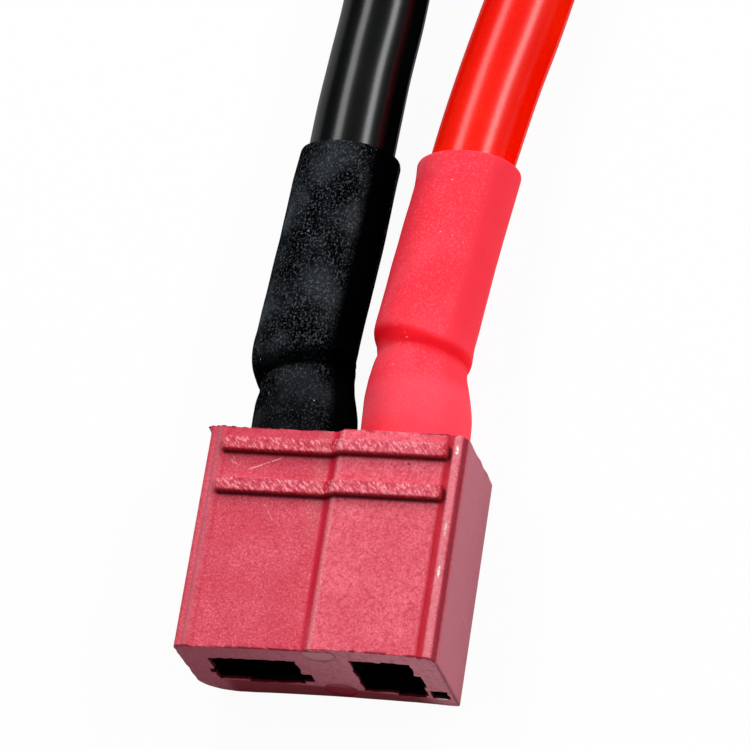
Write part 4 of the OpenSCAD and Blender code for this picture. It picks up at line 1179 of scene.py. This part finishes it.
# Strands in the leads: joints on the contact tabs as [x, z], as in the part's source
TRUNK_JOINTS = {"black": (-3.7, 4.55), "red": (4.85, 3.9)}
STRAND_GAP, STRAND_BEND, BORE_ROOM = 0.3, 0.2, 0.3
bundles = {}
splices = {}
for colour, (x, z) in TRUNK_JOINTS.items():
    points = lead_points(colour + "_trunk")
    splices[colour] = points[-1]
    end_x, end_y, end_z = points[-1]
    bundles[colour + "_trunk"] = (
        [(x, BACK_Y + STRAND_GAP, z), (x, BACK_Y + TAB_LEN + STRAND_BEND, z), straight_on(points, True)]
        + points + [(end_x, end_y + BARREL_GAP + BARREL_BORE - BORE_ROOM, end_z)], TRUNK_CORE_R)
for side, plug_x in PLUG_X.items():
    for colour, (bulge, (x, z)) in JOINTS.items():
        points = lead_points(side + "_" + colour)
        end_x, end_y, end_z = splices[colour]
        bore_x = end_x + (-BARREL_PITCH if side == "left" else BARREL_PITCH)
        bore_y = end_y + BARREL_GAP + BARREL_LEN
        bundles[side + "_" + colour] = (
            [(bore_x, bore_y - BARREL_BORE + BORE_ROOM, end_z), (bore_x, bore_y + 0.4, end_z),
             straight_on(points, True)] + points
            + [straight_on(points, False), (plug_x + x, PLUG_Y - TAB_LEN - STRAND_BEND, z),
               (plug_x + x, PLUG_Y - STRAND_GAP, z)], BRANCH_CORE_R)
strand_nodes = strand_group(finishes["copper_strands"])
for name, (points, radius) in bundles.items():
    take_over(strand_bundle(name + "_strands_skin", points, radius, strand_nodes),
              name + "_strands", "copper_strands")

# The six leads' part names, paths and widths, worked out but not kept
for colour in ("black", "red"):
    [colour + tail for tail in (
        "_trunk_strands_skin", "_trunk_sleeve_skin", "_splice_barrel", "_splice_sleeve_skin")]
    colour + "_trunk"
for name, lead in leads.items():
    path = eased(lead_points(name), LEAD_STEP) * MM
    radius = TRUNK_R if "trunk" in name else BRANCH_R
    2 * radius * MM

# Floor, backdrop and lights
FLOOR_HALF, FLOOR_GREY = 3, 0.86
CAMERA_GLOW, MIRRORED_GLOW = 0.95, 0.3
WORLD_SEEN, WORLD_LIGHT = 1.0, 0.12


def pale_floor():
    """Pale plain floor that looks white, and keeps the object's shadow."""
    corners = [(-1, -1), (1, -1), (1, 1), (-1, 1)]
    mesh = bpy.data.meshes.new("floor")
    mesh.from_pydata([(x * FLOOR_HALF, y * FLOOR_HALF, 0) for x, y in corners], [], [(0, 1, 2, 3)])
    floor = bpy.data.objects.new("floor", mesh)
    bpy.context.scene.collection.objects.link(floor)
    m = Finish("pale_floor")
    matte = m.node("ShaderNodeBsdfDiffuse", values={"Color": (FLOOR_GREY, FLOOR_GREY, FLOOR_GREY, 1)})
    glow = m.node("ShaderNodeEmission", values={"Color": (1, 1, 1, 1), "Strength": 1.0})
    seen, mirrored, through = [m.node("ShaderNodeLightPath", out="Is %s Ray" % kind)
                               for kind in ("Camera", "Glossy", "Transmission")]
    share = seen * CAMERA_GLOW + mirrored * MIRRORED_GLOW + through * MIRRORED_GLOW
    m.link(m.node("ShaderNodeMixShader", values={0: share, 1: matte, 2: glow}),
           m.output.inputs["Surface"])
    mesh.materials.append(m.material)
    return floor


def studio_world():
    """White to the camera, and a faint light on the object."""
    world = bpy.data.worlds.new("studio")
    world.use_nodes = True
    m = Maker(world.node_tree)
    seen = m.node("ShaderNodeLightPath", out="Is Camera Ray")
    background = m.tree.nodes["Background"]
    background.inputs["Color"].default_value = (1, 1, 1, 1)
    m.link(seen * (WORLD_SEEN - WORLD_LIGHT) + WORLD_LIGHT, background.inputs["Strength"])
    return world


def softbox(name, direction, distance, width, height, power):
    """Area light that faces the plug from a direction, its height along Y."""
    data = bpy.data.lights.new(name, "AREA")
    data.shape, data.size, data.size_y, data.energy = "RECTANGLE", width, height, power
    lamp = bpy.data.objects.new(name, data)
    toward = Vector(direction).normalized()
    away = toward.cross(Vector((0, 1, 0))).normalized()
    lamp.matrix_world = Matrix.Translation(toward * distance) @ Matrix(
        (away, toward.cross(away), toward)).transposed().to_4x4()
    bpy.context.scene.collection.objects.link(lamp)


pale_floor()
bpy.context.scene.world = studio_world()
softbox("right_softbox", (0.69, 0.38, 0.63), distance=0.7, width=0.16, height=0.9, power=3.8)
softbox("left_softbox", (-0.476, 0.383, 0.79), distance=0.7, width=0.2, height=0.9, power=3.0)
softbox("back_softbox", (-0.1, 0.9, 0.45), distance=0.9, width=0.6, height=0.4, power=2.8)
bpy.context.scene.view_settings.view_transform = "Standard"
